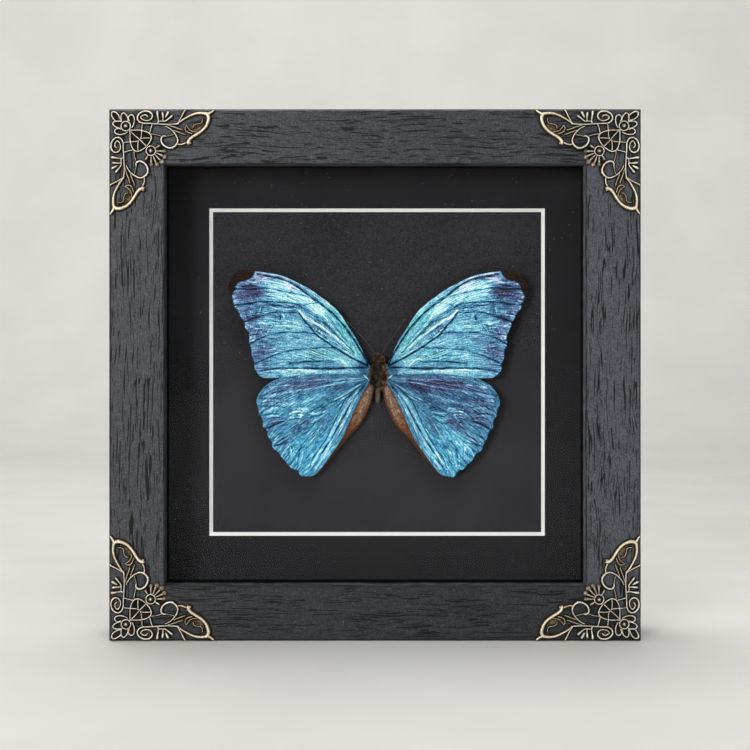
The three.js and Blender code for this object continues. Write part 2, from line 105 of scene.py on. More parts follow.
def make_shape(name, points, faces, material, fields):
    """A smooth mesh object from points in metres, with named fields on its vertices."""
    mesh = bpy.data.meshes.new(name)
    mesh.from_pydata(np.asarray(points).tolist(), [], [list(map(int, face)) for face in faces])
    for field, values in fields.items():
        values = np.asarray(values, np.float32)
        kind, key = ("FLOAT", "value") if values.ndim == 1 else ("FLOAT_VECTOR", "vector")
        mesh.attributes.new(field, kind, "POINT").data.foreach_set(key, values.ravel())
    mesh.polygons.foreach_set("use_smooth", [True] * len(mesh.polygons))
    mesh.materials.append(material)
    mesh.update()
    return add_object(name, mesh)


def make_piece(name, points, faces, material, fields):
    """A shape that belongs to the object."""
    piece = make_shape(name, points, faces, material, fields)
    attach(piece, "root")
    return piece


class Pile:
    """Gathers points, faces and fields of several shapes for one mesh."""

    def __init__(self):
        self.points, self.faces, self.fields, self.size = [], [], {}, 0

    def add(self, points, faces, **fields):
        self.points.append(points)
        self.faces += [[self.size + int(i) for i in face] for face in faces]
        self.size += len(points)
        for field, values in fields.items():
            self.fields.setdefault(field, []).append(np.broadcast_to(values, len(points)))

    def piece(self, name, material, slot, place):
        fields = {field: np.concatenate(values) for field, values in self.fields.items()}
        return make_piece(name, place(np.concatenate(self.points)), self.faces, material, fields)


def tube(points, radii, sides=8):
    """Points and faces of a closed tube along 3-D points, none of which go straight along the third axis."""
    along = unit(np.gradient(points, axis=0))
    side = unit(np.cross(along, [0.0, 0.0, 1.0]))
    up = np.cross(side, along)
    angle = np.linspace(0, 2 * np.pi, sides, endpoint=False)[:, None]
    ring = side[:, None] * np.cos(angle) + up[:, None] * np.sin(angle)
    body = (points[:, None] + ring * radii[:, None, None]).reshape(-1, 3)
    last = (len(points) - 1) * sides
    ends = [list(range(sides))[::-1], list(range(last, last + sides))]
    return body, [*grid_faces(len(points), sides, closed=True).tolist(), *ends]


def ellipsoid(centre, radii, rings=24, around=32):
    """Points and faces of a closed ellipsoid whose poles are on z."""
    polar = np.linspace(0, np.pi, rings + 1)[1:-1]
    angle = np.linspace(0, 2 * np.pi, around, endpoint=False)
    reach = np.sin(polar)
    sides = ((reach, np.cos(angle)), (reach, np.sin(angle)), (np.cos(polar), np.ones(around)))
    ball = np.stack([np.outer(*side) for side in sides], axis=-1).reshape(-1, 3)
    ball = np.vstack([ball, [[0, 0, 1], [0, 0, -1]]])
    top, bottom = len(ball) - 2, len(ball) - 1
    lowest = (rings - 2) * around
    faces = grid_faces(rings - 1, around, closed=True).tolist()
    for k in range(around):
        after = (k + 1) % around
        faces += [[top, after, k], [bottom, lowest + k, lowest + after]]
    return np.asarray(centre) + ball * np.asarray(radii), faces


# ---- Materials ----
def rgb(red, green, blue):
    """A screen colour in bytes as the linear colour that shaders use."""
    values = np.array([red, green, blue]) / 255
    linear = np.where(values <= 0.04045, values / 12.92, ((values + 0.055) / 1.055) ** 2.4)
    return (*map(float, linear), 1.0)


class Finish:
    """A material's nodes, with short names for the ones used here. Lengths in its coordinates are mm."""

    def __init__(self, name, **constants):
        self.material = bpy.data.materials.new(name)
        self.material.use_nodes = True
        self.tree = self.material.node_tree
        self.tree.nodes.clear()
        self.output = self.tree.nodes.new("ShaderNodeOutputMaterial")
        self.shader = self.tree.nodes.new("ShaderNodeBsdfPrincipled")
        self.link(self.shader.outputs[0], self.output.inputs["Surface"])
        self.set(**constants)

    def link(self, source, target):
        self.tree.links.new(source, target)

    def feed(self, socket, value):
        if isinstance(value, bpy.types.NodeSocket):
            self.link(value, socket)
        elif isinstance(value, tuple) and len(value) < len(socket.default_value):
            socket.default_value = (*value, 1.0)
        else:
            socket.default_value = value

    def set(self, **sockets):
        for name, value in sockets.items():
            self.feed(self.shader.inputs[name.replace("_", " ")], value)

    def make(self, kind, inputs, output=0, **settings):
        """What a new node gives out. Its inputs are in order, or go by name or number."""
        made = self.tree.nodes.new(f"ShaderNode{kind}")
        for key, value in settings.items():
            setattr(made, key, value)
        for socket, value in inputs.items() if isinstance(inputs, dict) else enumerate(inputs):
            self.feed(made.inputs[socket], value)
        return made.outputs[output]

    def place(self, *scale):
        """Where the point is, in mm, times scale."""
        scale = tuple(factor / MM for factor in scale or (1, 1, 1))
        return self.vector("MULTIPLY", self.make("TexCoord", (), "Object"), scale)

    def field(self, name, part="Fac"):
        return self.make("Attribute", (), part, attribute_name=name)

    def vector(self, operation, a, b):
        return self.make("VectorMath", (a, b), operation=operation)

    def math(self, operation, a, b=0.0, clamp=False):
        return self.make("Math", (a, b), operation=operation, use_clamp=clamp)

    def times(self, a, b, clamp=False):
        return self.math("MULTIPLY", a, b, clamp)

    def less(self, a, b):
        return self.math("SUBTRACT", a, b)

    def noise(self, where, scale=1.0, detail=2.0, roughness=0.5, part="Fac"):
        inputs = {"Vector": where, "Scale": scale, "Detail": detail, "Roughness": roughness}
        return self.make("TexNoise", inputs, part)

    def streaks(self, where, scale, detail, roughness=0.5):
        """Noise that is drawn out along the axis with the smallest scale."""
        return self.noise(self.vector("MULTIPLY", where, scale), 1.0, detail, roughness)

    def cells(self, where, scale):
        return self.make("TexVoronoi", {"Vector": where, "Scale": scale}, "Distance")

    def swing(self, value, amount):
        """A noise value around its middle, as a signed change."""
        return self.times(self.less(value, 0.5), amount)

    def sum(self, *values):
        total = values[0]
        for value in values[1:]:
            total = self.math("ADD", total, value)
        return total

    def step(self, value, low, high, to_low=0.0, to_high=1.0):
        return self.make("MapRange", (value, low, high, to_low, to_high), interpolation_type="SMOOTHSTEP")

    def ramp(self, value, stops):
        """Colours in bytes, by where they are on the ramp."""
        made = self.tree.nodes.new("ShaderNodeValToRGB")
        self.feed(made.inputs[0], value)
        elements = made.color_ramp.elements
        while len(elements) < len(stops):
            elements.new(0.5)
        for element, (at, colour) in zip(elements, sorted(stops.items())):
            element.position = at
            element.color = rgb(*colour)
        return made.outputs[0]

    def mix(self, share, a, b):
        return self.make("Mix", {0: share, 6: a, 7: b}, 2, data_type="RGBA")

    def bump(self, height, depth):
        """A normal from a height of 0 to 1 that stands for depth in mm."""
        return self.make("Bump", {"Strength": 1.0, "Distance": depth * MM, "Height": height})


def from_middle(f, place):
    """How far to the side of the frame's middle, and how far above or below it, in mm."""
    apart = f.make("SeparateXYZ", (place,)).node.outputs
    return f.math("ABSOLUTE", apart[0]), f.math("ABSOLUTE", f.less(apart[2], MIDDLE))


def edge_line(f, place, reach, strength):
    """A broken line round the opening. reach is where it starts, is full, wanes and ends, in mm."""
    away = f.less(f.math("MAXIMUM", *from_middle(f, place)), SIGHT_HALF)
    line = f.times(f.step(away, reach[0], reach[1]), f.step(away, reach[3], reach[2]))
    broken = f.step(f.noise(place, 0.16, 3), 0.34, 0.62, 0.3, 1.0)
    return f.times(line, f.times(broken, strength))


def black_ash(name, along, painted_light_shift, lit_edge):
    """Open-grained wood under a satin black stain. along is the grain's axis, 0 for x and 2 for z. The third
    argument makes a rail lighter or darker as painted light or shade, and the fourth is how bright the
    painted highlight on the opening's lip is."""
    f = Finish(name, Specular_IOR_Level=0.34)
    place = f.place()
    drift = f.vector("MULTIPLY", f.noise(place, 0.028, 2, part="Color"), (5.0, 5.0, 5.0))
    warped = f.vector("ADD", place, drift)

    def grain(length, width, detail=0.0):
        scale = [1 / width] * 3
        scale[along] = 1 / length
        return f.streaks(warped, tuple(scale), detail)

    crowded = f.step(grain(34, 7, 1.0), 0.36, 0.64, 0.07, -0.03)
    long_cut = f.step(f.less(grain(16, 0.55), crowded), 0.64, 0.665)
    short_cut = f.step(f.less(grain(4.5, 0.34), crowded), 0.7, 0.73)
    pores = f.math("MAXIMUM", long_cut, f.times(short_cut, 0.75))
    fibre = grain(7, 0.42, 2.0)
    speckle = f.noise(place, 1.5, 1)
    cloud = f.noise(place, 0.06, 3)
    tone = f.sum(f.swing(fibre, 0.7), f.swing(speckle, 1.0), f.swing(cloud, 0.15), 0.5 + painted_light_shift)
    stain = f.ramp(tone, {0: (22, 24, 27), 0.5: (49, 52, 57), 1: (86, 90, 97)})
    dust = f.step(f.noise(place, 2.2, 1), 0.66, 0.74, 0.0, 0.35)
    stain = f.mix(dust, stain, rgb(124, 130, 132))
    # Painted highlight: a pale line on the inner face of the opening's lip, where the lamps light it.
    stain = f.mix(edge_line(f, place, (-1.0, -0.6, -0.1, 0.1), lit_edge), stain, rgb(176, 180, 180))
    # Painted shade: a dark line on the opening's rounded arris, stronger where the lip's highlight is, and
    # another along the outer edge.
    outside = [MIDDLE - SIGHT_HALF - inwards for inwards in (0.85, 0.6, 0.15, 0.05)]
    for reach, strength in (((0.0, 0.1, 0.6, 0.8), 0.5 + 0.5 * lit_edge), (outside, 0.7)):
        stain = f.mix(edge_line(f, place, reach, strength), stain, rgb(10, 11, 12))
    f.set(
        Base_Color=f.mix(pores, stain, rgb(8, 9, 10)),
        Roughness=f.sum(f.step(pores, 0, 1, 0.46, 0.75), f.swing(cloud, 0.16)),
        Normal=f.bump(f.sum(f.times(pores, -1.0), f.times(fibre, 0.22)), 0.2),
    )
    return f.material


def picture_glass():
    """Clear glass that lets light through to what it covers."""
    f = Finish("picture_glass", Transmission_Weight=1.0, IOR=1.46, Roughness=0.0)
    f.set(Specular_Tint=(0.1, 0.1, 0.1, 1.0), Base_Color=(0.985, 0.995, 0.99, 1.0))
    f.set(Normal=f.bump(f.noise(f.place(0.02, 0.02, 0.02), 1.0, 3), 0.02))
    clear = f.make("BsdfTransparent", ((0.97, 0.98, 0.975, 1.0),))
    path = f.make("LightPath", ()).node
    shown = f.shader.outputs[0]
    for kind in ("Is Shadow Ray", "Is Reflection Ray"):
        shown = f.make("MixShader", (path.outputs[kind], shown, clear))
    f.link(shown, f.output.inputs["Surface"])
    return f.material


def paper_board(name, dark, light, fleck, roughness=0.85):
    """A matte coloured paper with a fine tooth and a few pale flecks of dust."""
    f = Finish(name, Specular_IOR_Level=0.06)
    place = f.place()
    tooth = f.noise(place, 1.6, 2, 0.7)
    cloud = f.noise(place, 0.05, 3)
    tone = f.sum(f.swing(tooth, 1.6), f.swing(cloud, 0.5), 0.5)
    flecks = f.step(f.cells(place, 0.4), 0.13, 0.06)
    shown = f.times(flecks, f.step(f.noise(place, 0.13, 1), 0.46, 0.62))
    f.set(
        Base_Color=f.mix(f.times(shown, 0.6), f.ramp(tone, {0: dark, 1: light}), rgb(*fleck)),
        Roughness=f.step(tooth, 0.3, 0.7, roughness - 0.08, roughness + 0.05),
        Normal=f.bump(tooth, 0.06),
    )
    return f


def mat_finish():
    """Black paper on a white core, which shows where the window is cut at a slant."""
    f = paper_board("mat_paper", (30, 29, 31), (46, 45, 48), (120, 118, 122))
    paper = f.shader.inputs["Base Color"].links[0].from_socket
    out = f.math("ABSOLUTE", f.make("SeparateXYZ", (f.make("NewGeometry", (), "True Normal"),), 1))
    slanted = f.times(f.step(out, 0.3, 0.4), f.step(out, 0.95, 0.85))
    core = f.mix(f.noise(f.place(), 3.0, 3), rgb(246, 243, 240), rgb(255, 255, 255))
    f.set(Base_Color=f.mix(slanted, paper, core))
    return f.material


def hardboard():
    """Brown pressed fibre."""
    f = Finish("hardboard", Specular_IOR_Level=0.3)
    place = f.place()
    fibres = f.noise(f.place(0.9, 0.9, 0.9), 2.2, 5, 0.65)
    specks = f.step(f.noise(place, 1.3, 2), 0.62, 0.7)
    tone = f.sum(f.swing(fibres, 0.8), f.swing(f.noise(place, 0.03, 3), 0.5), 0.5)
    brown = f.ramp(tone, {0: (84, 55, 34), 0.5: (118, 82, 54), 1: (150, 110, 76)})
    f.set(
        Base_Color=f.mix(f.times(specks, 0.5), brown, rgb(58, 36, 22)),
        Roughness=f.step(fibres, 0.3, 0.7, 0.72, 0.9),
        Normal=f.bump(fibres, 0.12),
    )
    return f.material


def zinc_steel():
    """Rolled steel with a dull zinc coat."""
    f = Finish("zinc_steel", Metallic=1.0)
    place = f.place()
    rolled = f.noise(f.place(0.15, 2.0, 3.0), 1.0, 3)
    wear = f.step(f.noise(place, 0.35, 4, 0.7), 0.55, 0.68)
    grey = f.ramp(f.noise(place, 0.8, 3), {0.3: (150, 152, 155), 0.7: (196, 198, 200)})
    f.set(
        Base_Color=f.mix(f.times(wear, 0.5), grey, rgb(112, 108, 102)),
        Roughness=f.sum(f.step(wear, 0, 1, 0.3, 0.5), f.swing(rolled, 0.12)),
        Normal=f.bump(rolled, 0.03),
    )
    return f.material


def antique_brass():
    """Cast brass, blackened, then polished on its ridges. The field rise is 1 on a ridge. The castings'
    long arms are the most golden."""
    f = Finish("antique_brass", Specular_IOR_Level=0.3)
    place = f.place()
    blotch = f.noise(place, 0.3, 3, 0.6)
    mottle = f.noise(place, 1.3, 3, 0.6)
    grit = f.noise(place, 3.2, 2, 0.6)
    level = f.sum(f.field("rise"), f.swing(mottle, 0.7), f.swing(grit, 0.3))
    greyed = {0.1: (18, 15, 12), 0.32: (56, 51, 42), 0.55: (119, 111, 96), 0.78: (197, 189, 171),
              1: (244, 241, 232)}
    golden = {0.1: (20, 15, 9), 0.32: (62, 51, 34), 0.75: (188, 170, 134), 1: (246, 237, 215)}
    coppery = {0.1: (24, 15, 10), 0.35: (78, 54, 38), 0.65: (166, 134, 104), 1: (236, 214, 190)}
    arms = f.step(f.math("MINIMUM", *from_middle(f, place)), MIDDLE - 25, MIDDLE - 31)
    brass = f.mix(arms, f.ramp(level, greyed), f.ramp(level, golden))
    f.set(
        Base_Color=f.mix(f.step(blotch, 0.54, 0.7), brass, f.ramp(level, coppery)),
        Metallic=f.step(level, 0.2, 0.8, 0.15, 0.42),
        Roughness=f.sum(f.step(level, 0.2, 0.9, 0.6, 0.34), f.swing(grit, 0.16)),
        Normal=f.bump(f.sum(grit, mottle), 0.08),
    )
    return f.material


# The wings' colours by tone, from dark to light. AQUA and AZURE go between GREENER_ENDS.
BLUE = {0: (6, 24, 44), 0.22: (22, 66, 102), 0.45: (62, 124, 166), 0.65: (106, 177, 208),
        0.83: (162, 220, 234), 1: (232, 252, 252)}
VIOLET = {0: (20, 14, 32), 0.35: (64, 72, 112), 0.65: (114, 134, 182), 1: (222, 220, 246)}
GREENER_ENDS = {0: (6, 34, 42), 1: (232, 254, 250)}
AQUA = {0.35: (24, 100, 122), 0.65: (94, 191, 208), 0.85: (162, 229, 236)}
AZURE = {0.35: (20, 95, 134), 0.65: (78, 179, 219), 0.85: (152, 224, 242)}
APEX_BROWN = {0: (12, 5, 2), 0.4: (56, 26, 10), 0.7: (104, 66, 40), 1: (160, 122, 92)}


def wing_scales(name, seed, greener):
    """Overlapping metallic scales. The fields tone, tint and brown steer the colour, and greener is what
    a tint of -1 gives between the ends."""
    f = Finish(name, Specular_IOR_Level=0.18)
    flow = f.vector("ADD", f.field("flow", "Vector"), (seed, seed * 0.7, 0.0))
    place = f.vector("ADD", f.place(), (seed, 0.0, seed))
    streak = f.streaks(flow, (5.0, 75.0, 1.0), 2, 0.6)
    thread = f.streaks(flow, (15.0, 140.0, 1.0), 1, 0.6)
    crumple = f.noise(place, 0.55, 3, 0.6)
    grain = f.noise(place, 2.0, 1, 0.5)
    swings = ((streak, 0.55), (thread, 1.35), (crumple, 0.25), (grain, 0.85))
    tone = f.sum(f.field("tone"), *(f.swing(*change) for change in swings))
    tint = f.sum(f.field("tint"), f.swing(crumple, 0.4))
    colour = f.ramp(tone, BLUE)
    colour = f.mix(f.times(tint, 1.0, clamp=True), colour, f.ramp(tone, VIOLET))
    green = f.ramp(tone, {**GREENER_ENDS, **greener})
    colour = f.mix(f.times(tint, -1.0, clamp=True), colour, green)
    brown = f.step(f.sum(f.field("brown"), f.swing(grain, 0.35)), 0.35, 0.65)
    relief = f.sum(streak, f.times(grain, 0.5), f.swing(f.cells(place, 5.0), -0.3))
    f.set(
        Base_Color=f.mix(brown, colour, f.ramp(tone, APEX_BROWN)),
        Metallic=f.step(brown, 0, 1, 0.42, 0.0),
        Roughness=f.sum(f.step(brown, 0, 1, 0.4, 0.75), f.swing(grain, 0.25)),
        Normal=f.bump(relief, 0.16),
    )
    return f.material


def fold_scales(name, seed):
    """Dull brown scales and silky hair on the hindwing's inner fold."""
    f = Finish(name, Specular_IOR_Level=0.3)
    flow = f.vector("ADD", f.field("flow", "Vector"), (seed, 0.0, 0.0))
    silk = f.streaks(flow, (9.0, 13.0, 1.0), 3, 0.6)
    grain = f.noise(f.place(), 1.9, 2, 0.6)
    tone = f.sum(f.field("tone"), f.swing(silk, 0.9), f.swing(grain, 1.5))
    taupe = f.ramp(tone, {0: (20, 11, 7), 0.4: (82, 56, 42), 0.7: (134, 102, 82), 1: (204, 180, 162)})
    rust = f.ramp(tone, {0: (12, 5, 2), 0.4: (92, 50, 22), 1: (170, 108, 54)})
    f.set(
        Base_Color=f.mix(f.field("rust"), taupe, rust),
        Roughness=f.step(grain, 0.3, 0.7, 0.6, 0.8),
        Normal=f.bump(f.sum(silk, grain), 0.14),
    )
    return f.material


def insect_skin(name, dark, light, roughness=0.5):
    """Dry, horny insect skin."""
    f = Finish(name, Specular_IOR_Level=0.4)
    place = f.place()
    mottle = f.noise(place, 1.6, 4, 0.65)
    f.set(
        Base_Color=f.ramp(mottle, {0.3: dark, 0.7: light}),
        Roughness=f.step(mottle, 0.3, 0.7, roughness, roughness + 0.2),
        Normal=f.bump(f.sum(mottle, f.cells(place, 3.5)), 0.08),
    )
    return f.material


def insect_hair():
    """Fine hair, dark at the root. The fields tip and shade steer the colour."""
    f = Finish("insect_hair", Roughness=0.6, Specular_IOR_Level=0.35)
    shade = f.sum(f.field("shade"), f.swing(f.noise(f.place(), 1.2, 2), 0.3))
    warm = f.ramp(shade, {0: (7, 4, 2), 0.35: (50, 30, 15), 0.8: (196, 148, 100)})
    f.set(Base_Color=f.mix(f.step(f.field("tip"), 0.0, 0.7), rgb(10, 6, 4), warm))
    return f.material


def studio_floor():
    """Pale matte floor."""
    f = Finish("studio_floor", Roughness=0.7, Specular_IOR_Level=0.2)
    cloud = f.noise(f.place(0.01, 0.01, 0.01), 1.0, 3)
    f.set(Base_Color=f.ramp(cloud, {0.3: (222, 220, 216), 0.7: (230, 228, 224)}))
    return f.material


# ---- Case ----
RAIL_ROUNDING = 0.35
STEEL_ROUNDING = 0.12


def dress_case():
    """Finishes for the frame's own pieces, whose shapes are right as they are. A finish goes to the
    nodes whose names start so."""
    finishes = {
        # The rails get lit and shaded copies of one stain: painted light makes the right rail lighter and
        # the foot darker, and each has its own strength of painted highlight on the opening's lip.
        "frame_rail_top": black_ash("black_ash_head", 0, -0.03, 0.2),
        "frame_rail_left": black_ash("black_ash_left", 2, -0.04, 0.1),
        "frame_rail_bottom": black_ash("black_ash_foot", 0, -0.34, 0.6),
        "frame_rail_right": black_ash("black_ash_right", 2, 0.2, 0.9),
        "glass": picture_glass(),
        "mat_board": mat_finish(),
        "backing_card": paper_board("backing_paper", (26, 24, 27), (63, 61, 66), (124, 122, 126)).material,
        "back_panel": hardboard(),
        ("back_tab", "sawtooth", "hanger"): zinc_steel(),
        "spacer": paper_board("spacer_wrap", (5, 5, 6), (13, 13, 14), (60, 60, 62), 0.8).material,
    }
    for name, node in NODES.items():
        for start, finish in finishes.items():
            if name.startswith(start):
                node.data.materials.clear()
                node.data.materials.append(finish)
        if name.startswith("frame_rail"):
            soften(node, RAIL_ROUNDING)
        if name.startswith(("back_tab", "sawtooth")):
            soften(node, STEEL_ROUNDING)


def soften(node, width):
    """Rounds a CAD node's sharp edges by width in mm."""
    rounding = node.modifiers.new("rounding", "BEVEL")
    rounding.width = width * MM
    rounding.segments = 3
    rounding.limit_method = "ANGLE"
    rounding.angle_limit = math.radians(30)


# ---- Corner ornaments ----
# Drawn from the frame's top left corner, u to the right and v down. A stroke is a line of u, v, width.
# The design is the same on both sides of the diagonal.
BASE_HEIGHT = 0.5  # the casting's flat edge
FLANGE = 0.3  # how far the flat edge shows beyond a ridge
PLATE_HEIGHT = 0.45

HALF_STROKES = [
    # the corner flower's two side petals
    [5.4,5.3,0.7, 5.2,3.6,0.75, 5.4,2.4,0.75, 6.2,1.8,0.85, 7,2.2,0.8, 7.7,3.2,0.8, 8.1,4.5,0.7, 8,5.4,0.6],
    [8.6,5,0.6, 8.2,3.7,0.7, 8.8,2.8,0.75, 9.7,2.6,0.8, 10.4,3.2,0.8, 10.7,4.4,0.75, 10.5,6.2,0.7,
     9.7,7.8,0.6],
    # the veined leaf
    [8.8,8.9,0.7, 10.5,8.9,0.6, 12.6,8.9,0.65, 14.5,9.2,0.65, 16.2,9.8,0.7, 17.3,10.7,0.75, 17.7,11.9,0.8,
     17.4,13.1,0.75, 16.7,14.3,0.7, 15.8,15.4,0.65],
    [13.2,12.4,0.5, 13.5,11.6,0.5, 13.7,9,0.55, 13.9,6.6,0.5],
    [13.3,12.3,0.5, 15.4,12.1,0.55, 17.3,12.2,0.5], [17,10.4,0.5, 17.4,8.5,0.6, 18,6.6,0.6],
    # the spiral and its stem
    [28.6,6.3,0.8, 24,6.5,0.7, 20,6.3,0.7, 16.5,6.1,0.75, 14,6,0.85, 12.5,5.2,0.9, 11.9,3.9,0.95,
     12.4,2.5,1, 13.8,1.4,1.05, 15.5,1.05,1.1, 17.2,1.5,1.1, 18.1,2.7,1, 17.8,4,0.8, 16.8,4.8,0.7,
     15.2,4.9,0.65, 13.9,4.4,0.7, 13.3,3.6,0.7, 14,2.9,0.7, 15.2,2.6,0.8, 16,3.1,0.8],
    # the fan of four stamens
    [20.6,5.6,0.6, 20.5,4,0.75, 20.3,2.8,1.1, 20.2,1.7,1.6], [22.5,5.2,0.6, 22.5,3.6,0.85, 22.4,2.2,1.5],
    [23.7,3.3,0.9, 24.5,1.9,1.5],
    [20.2,6,0.5, 20.6,5.3,0.6, 22,5.2,0.6, 23.3,5.2,0.7, 24.5,4.4,0.85, 26,3.2,1.3],
    # the spike beside the big loop, the loop and its horn
    [28.2,6.4,0.55, 29.9,3.8,0.65, 31.1,1.4,0.85, 31.5,0.8,0.95],
    [28.6,6.2,0.6, 30.2,4.9,0.8, 32.6,3.5,0.95, 34.4,2.6,1.05, 36.5,2,1.2, 39,1.95,1.35, 40.7,2.4,1.8,
     41.3,3.8,1.9, 41,5.5,1.7, 40.2,7.3,1.5, 38.8,8.9,1.45, 36.8,10.4,1.45, 34.8,11.6,1.5, 33.4,12.8,1.7,
     32.9,14,1.9],
    [40.7,2.4,1.5, 42.1,1.7,1.2, 43.2,0.9,1],
    # the open scroll under the stem and its links
    [23.5,7.3,0.55, 25.5,8.35,0.6, 27,9.8,0.7, 28,11.25,0.8, 28.6,13.1,1, 28.2,14.55,1.15, 27,15.8,1.2,
     25.3,16.3,1.2, 22.9,15.2,1.15, 21.9,13.7,1.15, 21.8,12.3,1.1, 22.6,11.4,0.95, 23.7,11.4,0.7],
    [28.2,14.6,0.8, 29.9,14.8,0.75, 31.7,14.2,1],
]
DULL_HALF_STROKES = [
    [17.2,10.5,0.6, 19,10.6,0.55, 21,11.1,0.55, 22.2,11.6,0.5], [23.7,11.4,0.5, 25.7,11,0.45, 27,10.6,0.45],
    [24.6,6.9,0.5, 27.4,7.7,0.7, 29,8.35,0.7, 30.7,8.8,0.5],
    [26.8,9,0.5, 28.6,9.6,0.65, 30.3,10.3,0.65, 31.7,10.7,0.5],
    [34.85,7.95,0.5, 35.25,6.9,0.55, 36.7,6.3,0.55, 38.15,6.1,0.55, 38.75,5.05,0.5, 38.65,4,0.45],
    # the crescent leaf inside the big loop
    [32.15,6.9,0.5, 31.6,7.9,0.6, 31.9,9.2,0.65, 33,9.9,0.65, 34.4,10.3,0.6],
    [32.25,7,0.5, 32.8,7.9,0.55, 33.8,9,0.55, 35.25,9.5,0.5, 36.9,9.7,0.45],
]
# The corner petal and the leaf's midrib lie on the diagonal.
SINGLE_STROKES = [
    [4.9,5.3,0.6, 4.6,3.7,0.7, 3.7,2.1,0.8, 2.5,1.35,0.9, 1.5,1.5,0.9, 1.2,2.3,0.9, 1.7,3.7,0.8, 2.7,5,0.7,
     3.4,5.4,0.6],
    [9.2,9.5,0.5, 11,11.2,0.55, 13,12.9,0.6, 15.2,15.1,0.65],
]
# Rings are centre, radius and width. Bosses and beads are centre and radius.
RINGS = [([7.15, 7.25], 1.95, 0.7), ([17.5, 17.4], 1.95, 0.65)]
BOSSES = [([7.15, 7.2], 1.45), ([17.5, 17.4], 1.4)]
BEADS = [([33.6, 14.3], 1.0), ([26.5, 16.4], 0.75)]
# Plates are outlines of u, v.
PLATES = [
    [5.6,5.4, 5.2,3.2, 3.6,1.8, 1.5,1.4, 1.8,3.2, 3.2,5.2],
    [8.9,8.9, 12.6,8.9, 16.1,9.7, 17.7,11.9, 16.6,14.6, 14.6,16.6, 11.9,17.7, 9.7,16.1, 8.9,12.6],
]
HALF_PLATES = [
    [5.4,5.4, 5.3,3, 6.2,1.9, 7.4,2.9, 8,5.6], [8.4,5.6, 8.3,3.6, 9.5,2.7, 10.5,3.7, 10.5,6.2, 9.4,8],
]
OLIVE_HALF_PLATES = [
    [12.6,3.4, 13.6,1.7, 15.5,1.3, 17.4,2.3, 17.6,3.9, 16.4,4.8, 14.2,4.8],
    [32.2,7, 31.7,8.2, 32.4,9.7, 34.4,10.2, 36.8,9.8, 37.8,9, 38.9,7.4, 39.3,5.4, 38.7,4.2, 38.3,6,
     36.6,6.4, 35.2,7.1, 34.9,8.6, 33.4,8.4],
]
DAISY = [17.5, 17.4]
DAISY_FAN = (-26, 116, 5.4)  # the plate behind the petals: from and to degrees, and its radius
# Degrees, and where a stem starts and ends, or how far out an end is and how large.
DAISY_STEMS = [
    (-31, 1.9, 3.8), (2, 2.1, 4.6), (23, 2.1, 5), (45, 2.1, 5), (67, 2.1, 5), (88, 2.1, 4.6),
    (121, 1.9, 3.8),
]
DAISY_ENDS = [
    (-31, 4, 0.65), (1, 5.5, 0.9), (24, 6.1, 1.1), (45, 6.3, 1.25), (66, 6.1, 1.1), (89, 5.5, 0.9),
    (121, 4, 0.65),
]
SAMPLE = 0.32  # spacing along a stroke
DULL = 0.8  # how polished the finer strokes are
# A dome's polish at its foot, what its crown has more, and how suddenly. The first one's crown ends in a
# small, sudden bright spot: worn polish and a painted highlight both.
POLISH_AND_GLINT_DOME = (0.06, 0.8, 7)
DULL_DOME = (0.16, 0.45, 1)


def ridge_section(width):
    """Across a stroke: offsets in half widths, heights, and how polished each point is."""
    angle = np.linspace(np.pi, 0, 9)
    crown = np.clip(0.34 + 0.62 * width, 0.45, 1.15)
    sharpness = np.interp(width, [0.9, 1.3], [3.2, 1.5])
    across = np.r_[-1, -1, 0.96 * np.cos(angle), 1, 1]
    height = np.r_[0, BASE_HEIGHT, BASE_HEIGHT + crown * np.sin(angle) ** 0.9, BASE_HEIGHT, 0]
    polish = np.r_[0, 0.05, 0.1 + 0.88 * np.sin(angle) ** sharpness, 0.05, 0]
    return across, height, polish


def add_stroke(pile, points, lift=0.0, shine=1.0):
    """A cast ridge with rounded ends along a stroke. shine says how polished it is."""
    points = np.asarray(points, float)
    length = np.linalg.norm(np.diff(points[:, :2], axis=0), axis=1).sum()
    line = smooth_line(points, max(5, int(length / SAMPLE)))
    swell = np.sin(np.linspace(0, np.pi / 2, 5))[1:]
    ends = []
    for end, inner in ((line[0], line[1]), (line[-1], line[-2])):
        away = (end[:2] - inner[:2]) / max(np.linalg.norm(end[:2] - inner[:2]), 1e-6)
        ends.append([[*(end[:2] + away * end[2] / 2 * k), end[2] * math.sqrt(1 - k * k)] for k in swell])
    line = np.vstack([ends[0][::-1], line, ends[1]])
    along = np.gradient(line[:, :2], axis=0)
    along /= np.maximum(np.linalg.norm(along, axis=1, keepdims=True), 1e-6)
    side = np.stack([-along[:, 1], along[:, 0]], axis=1)
    across, height, polish = ridge_section(points[:, 2].mean())
    share = np.clip(line[:, 2] / points[:, 2].mean(), 0.05, 1.3)[:, None]
    half = line[:, 2][:, None] / 2 + FLANGE * (np.abs(across) == 1)
    flat = line[:, None, :2] + side[:, None] * (across * half)[..., None]
    crown = np.where(height > BASE_HEIGHT, BASE_HEIGHT + (height - BASE_HEIGHT) * share**0.7, height)
    crown = crown + lift * (height > 0)
    body = np.concatenate([flat, crown[..., None]], axis=-1)
    faces = grid_faces(len(line), len(across)).tolist()
    pile.add(body.reshape(-1, 3), faces, rise=np.tile(polish * shine, len(line)))


def add_plate(pile, corners, rise=0.1):
    """A flat plate, recessed behind the ridges."""
    count = len(corners)
    body = np.vstack([np.c_[corners, np.full(count, height)] for height in (PLATE_HEIGHT, 0)])
    walls = [[k, (k + 1) % count, count + (k + 1) % count, count + k] for k in range(count)]
    pile.add(body, [list(range(count)), *walls], rise=rise)


